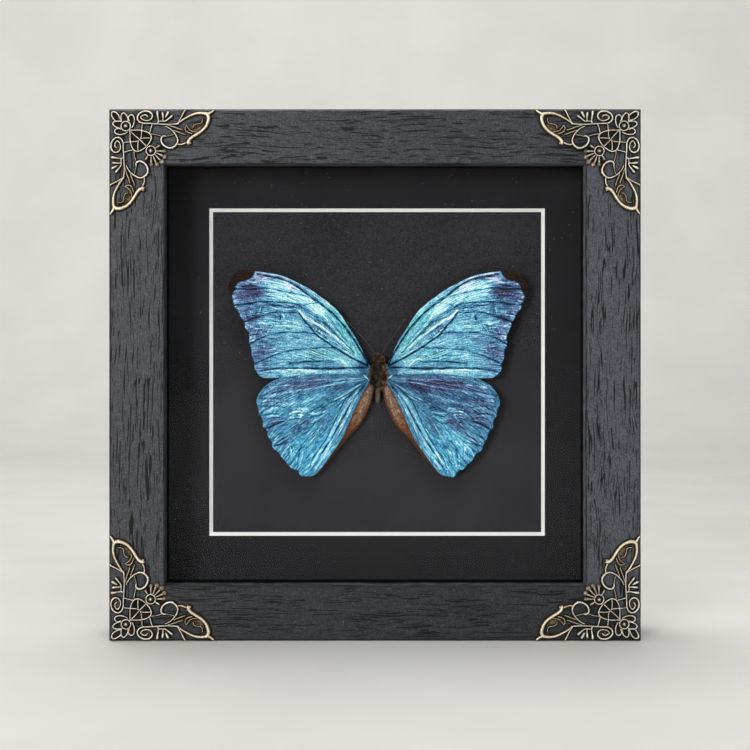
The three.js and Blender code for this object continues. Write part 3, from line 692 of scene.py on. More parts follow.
def add_dome(pile, centre, level, radius, height, polish):
    """A round boss with its foot at level. polish is one of the domes' above, one of which also paints a
    highlight on the crown.
    """
    foot, crown, power = polish
    body, faces = ellipsoid([*centre, level], [radius, radius, height], 12, 20)
    pile.add(body, faces, rise=foot + crown * np.clip((body[:, 2] - level) / height, 0, 1) ** power)


def mirrored(points):
    """The same on the other side of the diagonal."""
    return points[:, [1, 0, *range(2, points.shape[1])]]


def around(centre, degrees, radius):
    turn = math.radians(degrees)
    return [centre[0] + radius * math.cos(turn), centre[1] + radius * math.sin(turn)]


def add_daisy(pile):
    """Wedge stems and rounded ends over a dark fan."""
    start, stop, radius = DAISY_FAN
    rim = [around(DAISY, degrees, radius) for degrees in np.linspace(start, stop, 15)]
    add_plate(pile, [around(DAISY, 45, 0.5), *rim])
    for degrees, near, far in DAISY_STEMS:
        stem = [[*around(DAISY, degrees, near), 0.6], [*around(DAISY, degrees, far), 1.35]]
        add_stroke(pile, stem, shine=DULL)
    for degrees, reach, radius in DAISY_ENDS:
        add_dome(pile, around(DAISY, degrees, reach), 0.45, radius, 0.75, DULL_DOME)


def cast_ornament():
    pile = Pile()
    strokes = [triples(flat) for flat in HALF_STROKES]
    for points in [*strokes, *map(mirrored, strokes), *map(triples, SINGLE_STROKES)]:
        add_stroke(pile, points)
    for points in map(triples, DULL_HALF_STROKES):
        add_stroke(pile, points, shine=DULL)
        add_stroke(pile, mirrored(points), shine=DULL)
    add_daisy(pile)
    for centre, radius, width in RINGS:
        ring = [around(centre, degrees, radius) for degrees in np.linspace(0, 360, 25)]
        add_stroke(pile, [[*point, width] for point in ring], lift=0.15)
        add_plate(pile, ring[:-1])
    for centre, radius in BOSSES:
        add_dome(pile, centre, 0.8, radius, 1.0, POLISH_AND_GLINT_DOME)
    for centre, radius in [*BEADS, *((c[::-1], r) for c, r in BEADS)]:
        add_dome(pile, centre, 0.4, radius, 1.1, POLISH_AND_GLINT_DOME)
    half_plates = [pairs(flat) for flat in HALF_PLATES]
    for corners in [*map(pairs, PLATES), *half_plates, *map(mirrored, half_plates)]:
        add_plate(pile, corners)
    olive = [pairs(flat) for flat in OLIVE_HALF_PLATES]
    for corners in [*olive, *map(mirrored, olive)]:
        add_plate(pile, corners, rise=0.36)
    return pile


def fit_ornaments():
    pile = cast_ornament()
    brass = antique_brass()
    for turns, corner in enumerate(CORNERS):
        cosine, sine = math.cos(turns * math.pi / 2), math.sin(turns * math.pi / 2)
        node = f"corner_ornament_{corner}"
        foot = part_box(node)[1].y

        def place(points):
            x = (points[:, 0] - MIDDLE) * MM
            z = (MIDDLE - points[:, 1]) * MM
            out = foot - points[:, 2] * MM
            return np.stack([x * cosine - z * sine, out, HALF + x * sine + z * cosine], axis=1)

        piece = pile.piece(f"ornament_{corner}", brass, "ornament_brass", place)
        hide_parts(node)


# ---- Butterfly ----
# Local mm from the middle of the thorax, for the right side. The left side mirrors it.
BUTTERFLY_AT = (1.3, 110.75)
GLUE = 0.1  # a gap above the card stands for it
WING_RISE = 5.5  # wing roots above the glue
WING_LEVEL = CARD_FRONT / MM - GLUE - WING_RISE
WING_LIFT = 0.04  # how far out a wing gets per mm to the side
HINDWING_DROP = 0.9
FORE_TONE, HIND_TONE = 0.56, 0.435
APEX_FROM = 48  # the brown apex is farther to the side than this
APEX_EDGE = (-0.7, 0.4)  # the brown starts and is full this far past its line
APEX_DARKER = 0.46
RIM = (0.003, 0.013)  # the margin's dark rim is full and ends here, as shares of the wing's length
ROWS, COLUMNS = 300, 250  # a wing's grid, from root to margin and from front to back
FOLD_ROWS, FOLD_COLUMNS = 150, 36
PLEAT_POINTS = 14

# Outlines of x, z.
FORE_LEAD = [
    3.4,2.6, 4.5,4.3, 5.5,6.3, 6.6,8.8, 8.2,12, 9.5,14.5, 12,18.3, 14,21.5, 16,24.5, 18,27, 20,28.6,
    21.5,30, 24.5,32, 26,33.2, 28,34.6, 30,36, 32,36.8, 36,38.9, 40,40.6, 44,41.7, 48,42.3, 52,42.8,
    55,43.3, 58,43.1, 60,42.1,
]
FORE_MARGIN = [
    60,42.1, 61.5,40.5, 62.6,39, 63.3,37, 63.3,34.5, 62.3,31.5, 61.5,29.6, 60.9,28.4, 60.2,26.5, 58.8,24.5,
    57.6,22.5, 57,21, 56.6,19.5, 55.7,18, 55,16.5, 54.7,14.5, 54.6,12, 54.3,10.2, 53.6,8, 53.4,6, 53,4.5,
    52.4,3, 52.3,1.5, 51.7,0, 50.5,-1.4, 48.2,-2.5,
]
FORE_TRAIL = [3.4,-0.9, 10,-1, 20,-0.7, 28,-0.9, 33,-1.3, 38,-2, 43,-2.5, 48.2,-2.5]
HIND_LEAD = [3.4,-0.8, 12,0.9, 24,1.2, 34,0, 42,-2.6, 44,-3.5, 47,-5.2, 49,-7, 50.4,-9.2]
HIND_MARGIN = [
    50.4,-9.2, 51.2,-10.4, 51.6,-12.5, 51.5,-14.6, 50.7,-16.4, 50.4,-18, 49.7,-19.5, 49,-21.4, 48.7,-23.6,
    47.4,-25.2, 46.8,-27, 45.6,-29.4, 44.7,-32, 43,-34, 41.3,-35.7, 40.2,-37, 39.1,-38.8, 37.6,-40,
    36,-41.4, 34.4,-42, 33.3,-43.4, 32,-44.6, 30.3,-44.6, 28.6,-44.3, 27.2,-43.8, 26.2,-43.2,
]
HIND_TRAIL = [
    3.2,-4.6, 4.6,-6, 6.4,-9, 8,-12, 9.6,-15.2, 11.4,-19.4, 13.4,-24.1, 16.2,-29.7, 18.4,-33, 21.2,-37,
    23.4,-40, 26.2,-43.2,
]
FOLD_EDGE = [
    1.6,-5.2, 2.1,-8.6, 2.8,-12, 3.8,-15, 5,-18, 6.6,-21.2, 8.4,-24, 10.8,-26.6, 13.2,-29, 15.6,-31.7,
    18,-34.9, 20.3,-37.8, 22.6,-40.8, 25.2,-43.9,
]
APEX = [52.2,43.6, 52.8,41.4, 54,40, 55.8,39.1, 58.8,38.2, 60.4,36.6, 60.9,34.9, 61.7,33.4, 62.4,31.4]

# Veins and folds: [line, half width, change of tone, height]. A line lighter than the wing is a painted
# highlight along a raised fold; a darker one is a vein, and where it sinks also painted shade in its groove.
FORE_LINES = [
    [[4.5,3.4, 5.5,5.9, 8.2,10.4, 10.9,14.7, 13.5,18.4, 16.2,21.6, 18.9,24.5, 21.5,26.7, 24.2,28.8, 26,30.4,
     28.5,32, 30.6,33.3, 33.3,35.7, 37.3,38.1, 41.8,39.8, 46.9,40.8, 51,41.5], 0.38, -1.0, 0.24],
    [[4.5,2.7, 8.2,4.6, 10.9,5.9, 14.9,8.3, 18.9,10.7, 22.6,13.4, 26,15.7, 27.4,17.3, 29.5,20, 31.4,21.9,
     33.5,25.3], 0.34, -1.0, 0.2],
    [[25.6,29.6, 28,29.2, 30,28.9, 31.5,28.3], 0.26, -0.6, 0.1],
    [[26.5,29.9, 28.2,31.2, 30.6,32.2, 34.6,33.2, 38.6,34, 42.6,34.9, 46.6,35.6, 49.5,35.6, 53.2,35.3,
     56.7,35.2, 60.4,35.4, 62,34.9], 0.24, -0.6, 0.16],
    [[32.6,27.6, 33.8,28.5, 37.3,29.3, 41.3,29.6, 45.8,29.8, 50,29.8, 54,29.3, 57.2,28.9, 61,28.5], 0.3,
     -0.65, 0.16],
    [[34,25.7, 34.9,25.3, 37.3,25.3, 41.3,25.5, 45.3,25.2, 47.4,24.5, 50,23.5, 53.2,22.7, 56.7,21.3], 0.25,
     -0.6, 0.16],
    [[26.8,16.3, 30,16.8, 33.5,16.9, 37.3,16.9, 40.7,16.9, 43.9,16.4, 47.9,15.2, 51.9,13.4, 54.6,11.8],
     0.25, -0.6, 0.16],
    [[18.9,10.4, 22.6,10.3, 26.8,10.2, 30.8,9.9, 35.9,9.4, 40,8.5, 44,7.2, 48,5.6, 52.6,3.4], 0.25, -0.6,
     0.16],
    [[4.8,1.9, 14.6,1.8, 18.9,1.7, 26.8,1.8, 34,1.7, 42,1.6, 50,0.6], 0.3, -0.85, 0.16],
    [[18.3,4.6, 21,4.8, 26.8,4.6, 32.2,4.3, 37.5,3.8], 0.3, -0.42, -0.1],
    [[7,0.2, 12,0.1, 20,0.4, 28,0.8, 36,0.9, 44,0.2], 0.4, 0.16, 0.2],
    [[41.6,22.4, 41.4,23.2, 41.6,24.2], 0.36, -0.6, -0.05],
    [[33.5,25.9, 30.8,22.9, 28.2,21.6, 25.5,20, 22.6,18.1, 19.4,15.7, 17.3,14.2], 0.42, 0.55, 0.26],
    [[4.4,4.2, 6,7.9, 9,14.2, 12,18.8, 16,24.3, 20,28.1, 24,31.3, 28,34.1, 32,36.6, 36,38.5, 40,40.2,
     44,41.2, 49,42], 0.34, 0.34, 0.3],
]
HIND_LINES = [
    [[5.9,-1.4, 4.9,-2.4, 3.9,-3.4], 0.28, 0.8, 0.3],
    [[5,-2.2, 9,-2.8, 14,-3, 20,-3.4, 26,-3.4, 30,-3.8], 0.26, 0.3, 0.14],
    [[5.4,-3.4, 12,-4.2, 18.4,-4.9, 20.4,-5.6], 0.34, 0.3, 0.16],
    [[5,-3.8, 8,-5.6, 11,-7.6, 15,-9.8, 19,-12], 0.22, 0.3, 0.14],
    [[31.1,-29.3, 33.6,-33, 34.6,-35, 36.4,-37.5, 38.2,-39.7], 0.24, -0.5, 0.14],
    [[6,-6.4, 9,-9.6, 12,-14, 14,-18, 16,-21.8, 18.4,-25.6, 21,-30, 23.6,-34, 26.6,-38.6, 29,-42.2], 0.26,
     -0.45, -0.12],
    [[6,-5.2, 9,-7.4, 12,-9.8, 14.6,-12.2], 0.34, -0.45, -0.14],
    [[40.7,-21.1, 43.5,-22.2, 47.8,-24], 0.32, -0.7, 0.08],
    [[45.8,-14.8, 48,-16, 50.2,-17.6], 0.28, -0.45, 0.06], [[44,-8.6, 47,-9.6, 50.4,-11], 0.24, -0.4, 0.04],
    [[38.9,-29.3, 41.6,-30.4, 43.9,-31.4], 0.26, -0.5, 0.06],
    [[24.4,-36.4, 26.6,-39.6, 28,-41.8], 0.24, -0.4, -0.05],
]
# Creases by kind: half width, change of tone, height. A crease's change of tone is painted: shade in the
# fold for the shadow kinds and a highlight on the ridge for the light ones.
CREASE_KINDS = {
    "fine_shadow": (0.2, -0.44, -0.05),
    "fine_light": (0.2, 0.36, 0.08),
    "shadow": (0.3, -0.36, -0.07),
    "light": (0.32, 0.4, 0.1),
    "broad_shadow": (0.6, -0.26, -0.1),
    "broad_light": (0.58, 0.22, 0.14),
}
FORE_CREASES = {
    "shadow": [
        [37.5,3.1, 34.3,4, 29.5,4.4, 25.5,4.4, 21.5,4.2, 19.1,4.4],
        [28.2,1.4, 21.5,1.1, 17.3,1.1, 14.6,1.6], [55.9,36.7, 54.3,36.8, 52.7,36.4], [54.8,38.7, 52.4,39.1],
        [47.4,40.8, 45.5,39.4, 43.7,40], [60.4,35.4, 57.2,35.2, 53.2,35.3, 50.6,35.8],
        [61.2,28.5, 58.6,28.4, 55.1,28.8, 51.9,29.5], [49,29.3, 45.3,28.5, 41.3,27.9, 37.3,27.5, 34.3,27.3],
        [55.1,21.7, 53.2,21.6],
    ],
    "light": [
        [33.5,26.1, 30.6,23.6, 26.8,21.5, 22.6,18.7, 18.9,15.5, 15.9,13, 12.7,10.2],
        [33.2,25.6, 31.4,23.5, 28.7,21.5, 26,20], [18.9,5.1, 16.2,5.4, 14.6,4, 13,2.7],
        [37.5,1.1, 32.2,0.6, 26.8,0.3], [51.9,39.8, 49,39.6, 46.8,40.1],
        [53.5,37.6, 51.4,38.5, 49,38.8, 46.8,38.4], [59.6,37.2, 57,37.5, 55.1,37.2], [61.3,32.1, 60.9,31.5],
        [61.4,29.9, 59.5,30.2], [55.9,20.8, 53.8,19.3, 51.9,18.7], [51.1,21.5, 49,20.8, 46.8,20.4],
        [56.4,20, 55.9,18.9], [40.5,24.4, 39.8,23.5], [54.3,14.2, 52.7,15.5, 52.2,14.9, 53,13.4],
        [54.6,15.7, 53.8,14.2],
    ],
    "broad_shadow": [
        [33.5,27.7, 32.2,27.1, 29.5,25.9, 26.8,24.3, 24.4,22.4, 22,20.5],
        [26.8,22.7, 24.7,21.7, 22,19.7, 19.7,17.3, 18.3,15.7],
    ],
}
HIND_CREASES = {
    "shadow": [
        [50.3,-10.1, 47.1,-9.2, 43.2,-8.4, 38.9,-7.7], [30.7,-17.2, 29.3,-18, 27.9,-16.5],
        [12.3,-10.1, 10.5,-8.6, 9.5,-7.7], [6.6,-6.6, 5.2,-4.5, 4.5,-3.4],
        [46.7,-24, 44.2,-22.6, 40.7,-20.8], [43.5,-31.4, 40.7,-30.7, 38.2,-30],
    ],
    "light": [
        [46,-6.6, 41.7,-5.9, 37.5,-5.5], [21.5,-8, 21,-7], [37.5,-18, 35.7,-17.1, 34.6,-16.9],
        [32.5,-15.5, 30.7,-15.4, 29.7,-15.9, 31.1,-16.9], [33.8,-21.1, 33.2,-19.7, 32.5,-17.8],
        [28.8,-17.7, 27.5,-17.2], [8.7,-9.8, 10.5,-13.7, 13,-18.3, 15.5,-22.9], [47.8,-22.6, 47.6,-24],
    ],
    "broad_light": [
        [48.8,-10.6, 45.3,-10, 40.7,-8.9, 36.8,-8.4, 33.6,-7.8],
        [50.3,-16.9, 45.3,-15.8, 40.7,-14.8, 36.4,-13.6],
        [36.4,-13.6, 32.5,-12.6, 28.3,-11.9, 25.4,-10.9, 22.9,-9.7], [11.6,-11.9, 9.8,-9.6, 8.4,-7.7],
        [12.3,-11.9, 13.4,-15.1, 15.5,-19, 17.3,-22.9, 19.4,-27.5, 22.2,-31.8, 25.1,-35.3, 27.5,-38.9,
         29.3,-42.1],
        [18.3,-31.4, 20.5,-33.9, 22.6,-36.2, 24.7,-38.5, 26.5,-41],
    ],
}
# Fine creases, drawn between two guide lines: [guide, guide, how many]. They are painted shade and painted
# highlight in turn.
FORE_PLEATS = [
    [[22.6,25.9, 17.3,18.9, 9.3,8.6], [24.4,19.6, 17.8,14, 10.6,8], 12],
    [[19,14.6, 14.6,10.4, 10.3,7.2], [18.4,11.6, 14.4,8.8, 10.3,6.4], 4],
    [[29.5,23.6, 23.6,20.1, 18.9,16.3], [28.7,20.1, 25.5,16.1, 20.4,12.6], 6],
    [[27.4,19.7, 28,18.6], [21.4,16.1, 21.9,14.7], 17],
    [[29.5,9.6, 26.3,8.6, 22.6,7.2, 18.4,6.4], [35.4,7.4, 31,6.4, 26.8,5.2, 22,4.6], 9],
    [[36.7,16.1, 34.3,14.4, 32,13.9], [32.7,13.4, 31.4,12.8, 29.8,13.1], 4],
    [[49,36.8, 45.8,36.4], [46.3,31.4, 42.2,30.9], 5], [[41,33.6, 37.3,31.7], [39.1,33.1, 35.7,31], 3],
    [[46.6,28.2, 39.9,28.6, 35,28.1], [44.6,26.1, 38.3,25.8, 34.1,25.6], 5],
    [[47.4,28.3, 47.9,26.9, 48.9,25.3], [57.7,25.9, 57.6,24.2, 56.8,22.4], 6],
    [[43.3,20.5, 44.3,18.9, 45.9,17.1], [51.6,19.5, 51.7,17.6, 53,15.4], 8],
    [[58.6,24.6, 52,25.4, 45,26], [57.4,22.6, 52,23.9, 46,25], 3],
    [[55.6,18.6, 49,19.6, 42.6,20.4], [54.6,14.6, 50,16, 44,17.4], 6],
    [[41.8,21.8, 38.6,21.4, 34.6,21], [41,18.4, 37.3,18.6, 34.7,18.4], 5],
    [[52.4,41.6, 47.9,42.2], [50,40.2, 43,39.2], 4],
    [[51.6,14.2, 48,12.2, 44,12.4], [49.6,6.4, 46,6.8, 42,8.2], 6],
]
HIND_PLEATS = [
    [[7.3,-7.3, 10.5,-15.5, 15.5,-25.4, 21.2,-33.9, 25.8,-40.7], [15.1,-13, 18.7,-21.1, 22.9,-29.7,
     26.8,-35.3, 30.4,-43], 11],
    [[16.9,-8.6, 9,-4.8, 4.8,-3.2], [18.7,-13.7, 11.6,-9.8, 4.8,-4.6], 9],
    [[41.7,-5.3, 27.5,-3.3, 11.6,-2.3], [36,-8.4, 22.4,-6.4, 10,-3.4], 4],
    [[37,-15, 34,-14.4, 31,-15.4], [37.6,-20.6, 34,-20.4, 31.2,-20.6], 9],
    [[28.8,-16.6, 25.4,-15, 20.5,-14.9], [31.4,-21.4, 27.4,-21.8, 24,-19.4], 5],
    [[31.4,-25.6, 29.4,-23, 26.4,-19.6], [28.4,-30.4, 25.6,-26.4, 22.2,-19.9], 4],
    [[25.4,-33.8, 27.5,-38.6, 29,-42.1], [39.2,-31.6, 38.6,-35, 38.4,-38.2], 11],
    [[49.8,-11.2, 43.8,-10.9, 38,-12], [50.4,-16, 44.2,-15, 38,-16.6], 6],
    [[49.8,-17.8, 44.6,-17.4, 40,-18.4], [46.4,-26.8, 42.4,-24, 38.6,-22.9], 7],
    [[45.4,-29, 42,-26.6, 38.4,-25.6], [40.8,-36, 38.6,-32.4, 35,-29.6], 8],
]
# Pale specks near the margin: painted highlights, drawn like the pleats but of the light kind only.
FORE_SPECKS = [
    [[59.4,33, 58.4,32.4], [52,34.6, 51.2,33.4], 9], [[56,31.6, 55.2,30.8], [50.6,32.8, 49.6,31.4], 5],
]
# Patches: [x, z, half length, half breadth, degrees, change of tone, tint]. A tint of 1 is violet and
# one of -1 is teal. Their changes of tone paint the wing's sheen, lighter where it caught the light and
# darker where it turned away, over its own colour.
FORE_PATCHES = [
    [53, 16, 20, 5, 76, -0.09, 0.3], [54, 33, 6, 4, 0, -0.1, 0.2], [26.5, 27.5, 6.5, 2.6, 42, 0.36, -0.5],
    [16, 19, 12, 4, 56, 0.06, -0.8], [11, 9, 5, 2.4, 52, 0.14, -0.7], [18, 25.4, 6, 1.4, 52, 0.04, -0.3],
    [25, 19, 6, 1.4, 40, -0.1, 0.3], [38, 32, 10, 2.4, 6, 0.26, -0.4], [43.5, 36.4, 4.6, 2, 6, 0.26, -0.3],
    [37.6, 36.6, 4.2, 1.7, 34, 0.42, 0.7], [47, 41.2, 7, 0.8, 10, 0.12, 0.8], [31, 35, 4, 0.8, 34, 0, 0.3],
    [50.5, 39.4, 4, 1.6, -6, 0.03, 0.9], [57.4, 38.2, 3.4, 0.9, -20, -0.02, 0.8],
    [55, 36.7, 4, 0.8, -6, -0.36, 0.8], [53, 33.4, 5.4, 2.4, -4, -0.33, 1],
    [59.4, 31.6, 2.6, 2, -20, -0.04, 0.8], [49.4, 27.6, 6, 1.4, 0, -0.12, 0.25],
    [56.4, 26.4, 3, 2, -30, -0.04, 0.5], [53, 22.8, 4.4, 1, -20, -0.24, 0.7], [44, 24, 5, 1, 0, -0.06, 0.1],
    [37, 19.6, 8, 2.2, 0, 0.16, -0.35], [49.6, 20.6, 4, 1.2, -8, 0.06, 0],
    [50, 16.6, 4.6, 1.6, -30, -0.14, 0.4], [53.6, 19, 2, 3, 10, -0.02, 0.3],
    [44.6, 13.6, 5, 1.2, -12, -0.08, 0.4], [32, 13, 9, 2.4, 4, 0.08, 0], [49, 8.6, 5, 2.4, -26, -0.14, 0.6],
    [35, 7.4, 6, 1.8, -6, 0.14, -0.2], [24, 8.2, 7, 1.8, 8, 0.06, -0.6], [27, 3.4, 10, 1, 0, -0.06, 0],
    [24, 5.8, 9, 1.8, 5, 0.07, -0.3], [22, 13, 6, 2.4, 35, 0.06, -0.2], [37, 1.8, 8, 1.6, 0, 0.07, -0.1],
    [22, 1.4, 8, 0.5, 0, -0.2, 0.2], [30, -0.2, 18, 1.4, 0, 0.16, -0.3], [13, 4, 3.6, 1.8, 30, 0.16, -0.6],
    [48, 1.6, 4, 2.4, 0, -0.04, 0.15], [6.5, 1, 2.4, 3.4, 0, -0.26, 0.1],
]
HIND_PATCHES = [
    [30, -34, 15, 9, -60, 0.09, -0.8], [30, -5, 15, 2.8, -8, -0.05, 0.8], [18, -4, 5, 2, -10, 0.06, -0.3],
    [14, -3, 6, 1, 0, 0.04, 0], [17.5, -7, 5, 1.4, -20, -0.16, 0.5], [46, -9.4, 4, 1.4, -14, 0.12, 0.2],
    [43, -12.6, 6, 1.2, -10, -0.06, 0.4], [46.6, -17, 3.4, 1.2, -10, 0.08, 0],
    [44, -20.8, 4, 1.6, -24, -0.08, 0.6], [33, -17, 4, 1.8, -20, 0.2, -0.3],
    [28, -11.4, 5, 1.2, -20, 0.1, -0.1], [22, -13.4, 5, 2, -36, -0.12, 0.15],
    [24, -23.4, 6, 2.2, -56, -0.12, 0.8], [33.4, -23.6, 5, 2.6, -36, -0.14, 0.9],
    [30, -21, 1.8, 1.2, 0, -0.06, 0.9], [29, -29.6, 4.6, 1.6, -56, -0.04, 0.5],
    [39.6, -28.6, 4, 2.2, -40, -0.04, 0.4], [36, -36.4, 5, 3, -40, 0.05, -0.1],
    [30.6, -40, 3.4, 3.4, 0, 0.02, -0.1], [19, -26, 11, 1.8, -60, 0.16, -0.3],
    [25, -36.4, 7, 1.7, -55, 0.12, -0.3], [12, -13, 5, 1.2, -58, 0.1, 0], [8, -5.4, 3, 2, -30, -0.1, 0],
]
# The right hindwing's middle catches the light less than the left one's.
OWN_HIND_PATCHES = {
    -1: [[28, -22, 18, 12, -40, 0.03, -0.3], [44, -17, 5, 4, -40, 0.08, -0.2]],
    1: [
        [30, -11, 14, 7, -24, -0.12, 0.35], [16, -5, 9, 3, -15, -0.14, 0.5],
        [33, -27, 9, 4, -40, 0.16, -0.4], [44, -15, 5, 7, -30, -0.05, 0.3],
        [34, -19, 5, 4, -30, -0.08, 0.4],
    ],
}


def distance_to(xz, points):
    """How far each point is from a line through the given points."""
    line = smooth_line(points, max(4, 3 * len(points))) if len(points) > 2 else points
    nearest = np.full(len(xz), np.inf)
    for a, b in zip(line[:-1], line[1:]):
        along = b - a
        k = np.clip((xz - a) @ along / max(along @ along, 1e-9), 0, 1)
        nearest = np.minimum(nearest, np.linalg.norm(xz - a - k[:, None] * along, axis=1))
    return nearest


def patch_share(xz, x, z, length, breadth, degrees):
    """How much each point is in an oval patch, from 0 to 1."""
    turn = math.radians(degrees)
    dx, dz = xz[:, 0] - x, xz[:, 1] - z
    along = (dx * math.cos(turn) + dz * math.sin(turn)) / length
    across = (dz * math.cos(turn) - dx * math.sin(turn)) / breadth
    return np.exp(-((along**2 + across**2) ** 1.3))


def smoothstep(value, low, high):
    k = np.clip((value - low) / (high - low), 0, 1)
    return k * k * (3 - 2 * k)


def coons(lead, margin, trail, rows, columns):
    """A patch between three edges and the straight one at the root, as a grid of (x, z)."""
    lead = smooth_line(lead, rows)[:, None]
    trail = smooth_line(trail, rows)[:, None]
    margin = smooth_line(margin, columns)[None]
    s = np.linspace(0, 1, rows)[:, None, None]
    t = np.linspace(0, 1, columns)[None, :, None]
    root = lead[:1] * (1 - t) + trail[:1] * t
    corners = root * (1 - s) + (lead[-1:] * (1 - t) + trail[-1:] * t) * s
    grid = lead * (1 - t) + trail * t + root * (1 - s) + margin * s - corners
    return grid.reshape(-1, 2), np.repeat(s.ravel(), columns), np.tile(t.ravel(), rows)


def ripple(s, t, seed):
    """Shallow pleats and puckers that run along the veins."""
    waves = np.random.default_rng(seed)
    total = np.zeros(len(s))
    for count, height in ((9, 0.09), (17, 0.06), (31, 0.04), (53, 0.025)):
        phase, drift, beat = waves.uniform(0, 2 * np.pi, 3)
        swell = 0.6 + 0.4 * np.sin(2 * np.pi * (s * waves.uniform(1, 2.5)) + beat)
        total += height * swell * np.sin(2 * np.pi * count * t + 2.2 * np.sin(3 * s + drift) + phase)
    return total * np.sin(np.pi * np.clip(s, 0.02, 1) ** 0.5) ** 0.5


def vein_lines(veins):
    return [[pairs(flat), *rest] for flat, *rest in veins]


def crease_lines(creases):
    """The creases in the same form as the veins."""
    return [[pairs(flat), *CREASE_KINDS[kind]] for kind, group in creases.items() for flat in group]


def pleat_lines(pleats, kinds, seed):
    """Fine creases of the given kinds in turn, spread unevenly between pairs of guide lines."""
    draw = np.random.default_rng(seed)
    lines = []
    for *guides, count in pleats:
        a, b = (smooth_line(pairs(guide), PLEAT_POINTS) for guide in guides)
        for k in range(count):
            share = np.clip((k + 0.5 + draw.uniform(-0.35, 0.35)) / count, 0, 1)
            bend = draw.uniform(-0.6, 0.6) / count * np.sin(np.linspace(0, 3, PLEAT_POINTS))[:, None]
            first, last = draw.integers(0, 4), PLEAT_POINTS - draw.integers(0, 4)
            points = (a + (b - a) * (share + bend))[first:last:2]
            width, change, rise = CREASE_KINDS[kinds[k % len(kinds)]]
            lines.append([points, width, change * draw.uniform(0.4, 1.35), rise])
    return lines


def wing_fields(xz, lines, patches, base):
    """Tone, tint and height over a wing from its veins, creases and patches."""
    tone = np.full(len(xz), base)
    tint = np.zeros(len(xz))
    height = np.zeros(len(xz))
    for *oval, change, hue in patches:
        share = patch_share(xz, *oval)
        tone += share * change
        tint += share * hue
    for number, (points, width, change, rise) in enumerate(lines):
        near = np.exp(-((distance_to(xz, points) / width) ** 2))
        near *= 0.75 + 0.25 * np.sin(xz @ [0.9, 1.3] + 2.1 * number)
        tone += near * change
        height += near * rise
    return tone, tint, height


def beyond_line(xz, line):
    """How far each point is past the line, to the left of its way."""
    nearest = np.argmin(np.linalg.norm(xz[:, None] - line[None], axis=2), axis=1)
    offset = xz - line[nearest]
    along = np.gradient(line, axis=0)[nearest]
    return (along[:, 0] * offset[:, 1] - along[:, 1] * offset[:, 0]) / np.linalg.norm(along, axis=1)


def add_wing(name, edges, lines, patches, base, drop, side, seed, apex=None):
    """One wing. side is 1 for the right and -1 for the left. Beyond the line apex it is brown."""
    xz, s, t = coons(*map(pairs, edges), ROWS, COLUMNS)
    tone, tint, height = wing_fields(xz, lines, patches, base)
    brown = np.zeros(len(xz))
    if apex is not None:
        past = beyond_line(xz, smooth_line(pairs(apex), 40))
        brown = smoothstep(past, *APEX_EDGE) * (xz[:, 0] > APEX_FROM)
        tone -= APEX_DARKER * brown
    rim = 1 - smoothstep(1 - s, *RIM)
    fringe = smoothstep(np.sin(2 * np.pi * 9 * t + seed), 0.0, 0.6)
    tone += rim * (0.1 * fringe - 0.3 * (1 - fringe))
    brown = np.maximum(brown, rim * (0.55 - 0.3 * fringe))
    out = WING_LIFT * xz[:, 0] - drop + height + ripple(s, t, seed)
    scales = wing_scales(f"{name}_scales", seed, AZURE if apex is None else AQUA)
    fields = {"tone": tone, "tint": tint, "brown": brown, "flow": np.stack([s, t, 0 * s], axis=1)}
    add_sheet(name, side, xz, out, grid_faces(ROWS, COLUMNS)[:, ::-side], scales, fields)


def add_sheet(name, side, xz, out, faces, material, fields):
    """A thin sheet, mirrored to the left where side is -1."""
    points = place_butterfly(np.stack([side * xz[:, 0], xz[:, 1], out], axis=1))
    piece = make_piece(name, points, faces, material, fields)
    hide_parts("butterfly")


def place_butterfly(points):
    """Local (x, z, out) in mm to metres in the frame."""
    x, z, out = points.T
    return np.stack([x + BUTTERFLY_AT[0], WING_LEVEL - out, z + BUTTERFLY_AT[1]], axis=1) * MM


def add_fold(name, side, seed):
    """The brown inner edge of the hindwing, which turns down towards the card."""
    wing, edge = (smooth_line(pairs(flat), FOLD_ROWS)[:, None] for flat in (HIND_TRAIL, FOLD_EDGE))
    s = np.repeat(np.linspace(0, 1, FOLD_ROWS), FOLD_COLUMNS)
    w = np.tile(np.linspace(-0.25, 1, FOLD_COLUMNS), FOLD_ROWS)
    share = w.reshape(FOLD_ROWS, FOLD_COLUMNS, 1)
    xz = (wing * (1 - share) + edge * share).reshape(-1, 2)
    tuck = 0.35 + 2.2 * np.sin(np.pi * np.clip(s, 0, 0.5)) * np.clip(w, 0, 1) ** 1.3
    out = WING_LIFT * xz[:, 0] - HINDWING_DROP - tuck
    out += 0.1 * np.sin(2 * np.pi * (1.2 * w + 2.4 * s) + seed)
    tone = 0.58 - 0.2 * smoothstep(s, 0.3, 0.6) - 0.14 * smoothstep(s, 0.75, 0.95)
    # Painted shade: darker along the strip tucked under the hindwing's edge and along the far edge, where
    # the fold turns down to the card.
    tone -= 0.36 * smoothstep(w, 0.16, -0.02) + 0.3 * smoothstep(w, 0.72, 0.98)
    # Painted highlight along the middle of the fold, near the root.
    ridge = np.exp(-(((w - 0.5) / 0.16) ** 2))
    tone += 0.1 * ridge * smoothstep(s, 0.02, 0.1) * smoothstep(s, 0.42, 0.3)
    rust = np.maximum(smoothstep(s, 0.26, 0.5), 0.85 * smoothstep(np.abs(w - 0.5), 0.18, 0.42))
    fields = {"tone": tone, "rust": rust, "flow": np.stack([s, w, 0 * s], axis=1)}
    faces = grid_faces(FOLD_ROWS, FOLD_COLUMNS)[:, ::side]
    add_sheet(name, side, xz, out, faces, fold_scales(f"{name}_scales", seed), fields)


# Middle and radii.
THORAX = ([0.1, -0.8, -1.3], [3.7, 5.9, 4.3])
HEAD = ([0.4, 5.7, -1.2], [2.2, 1.8, 2.0])
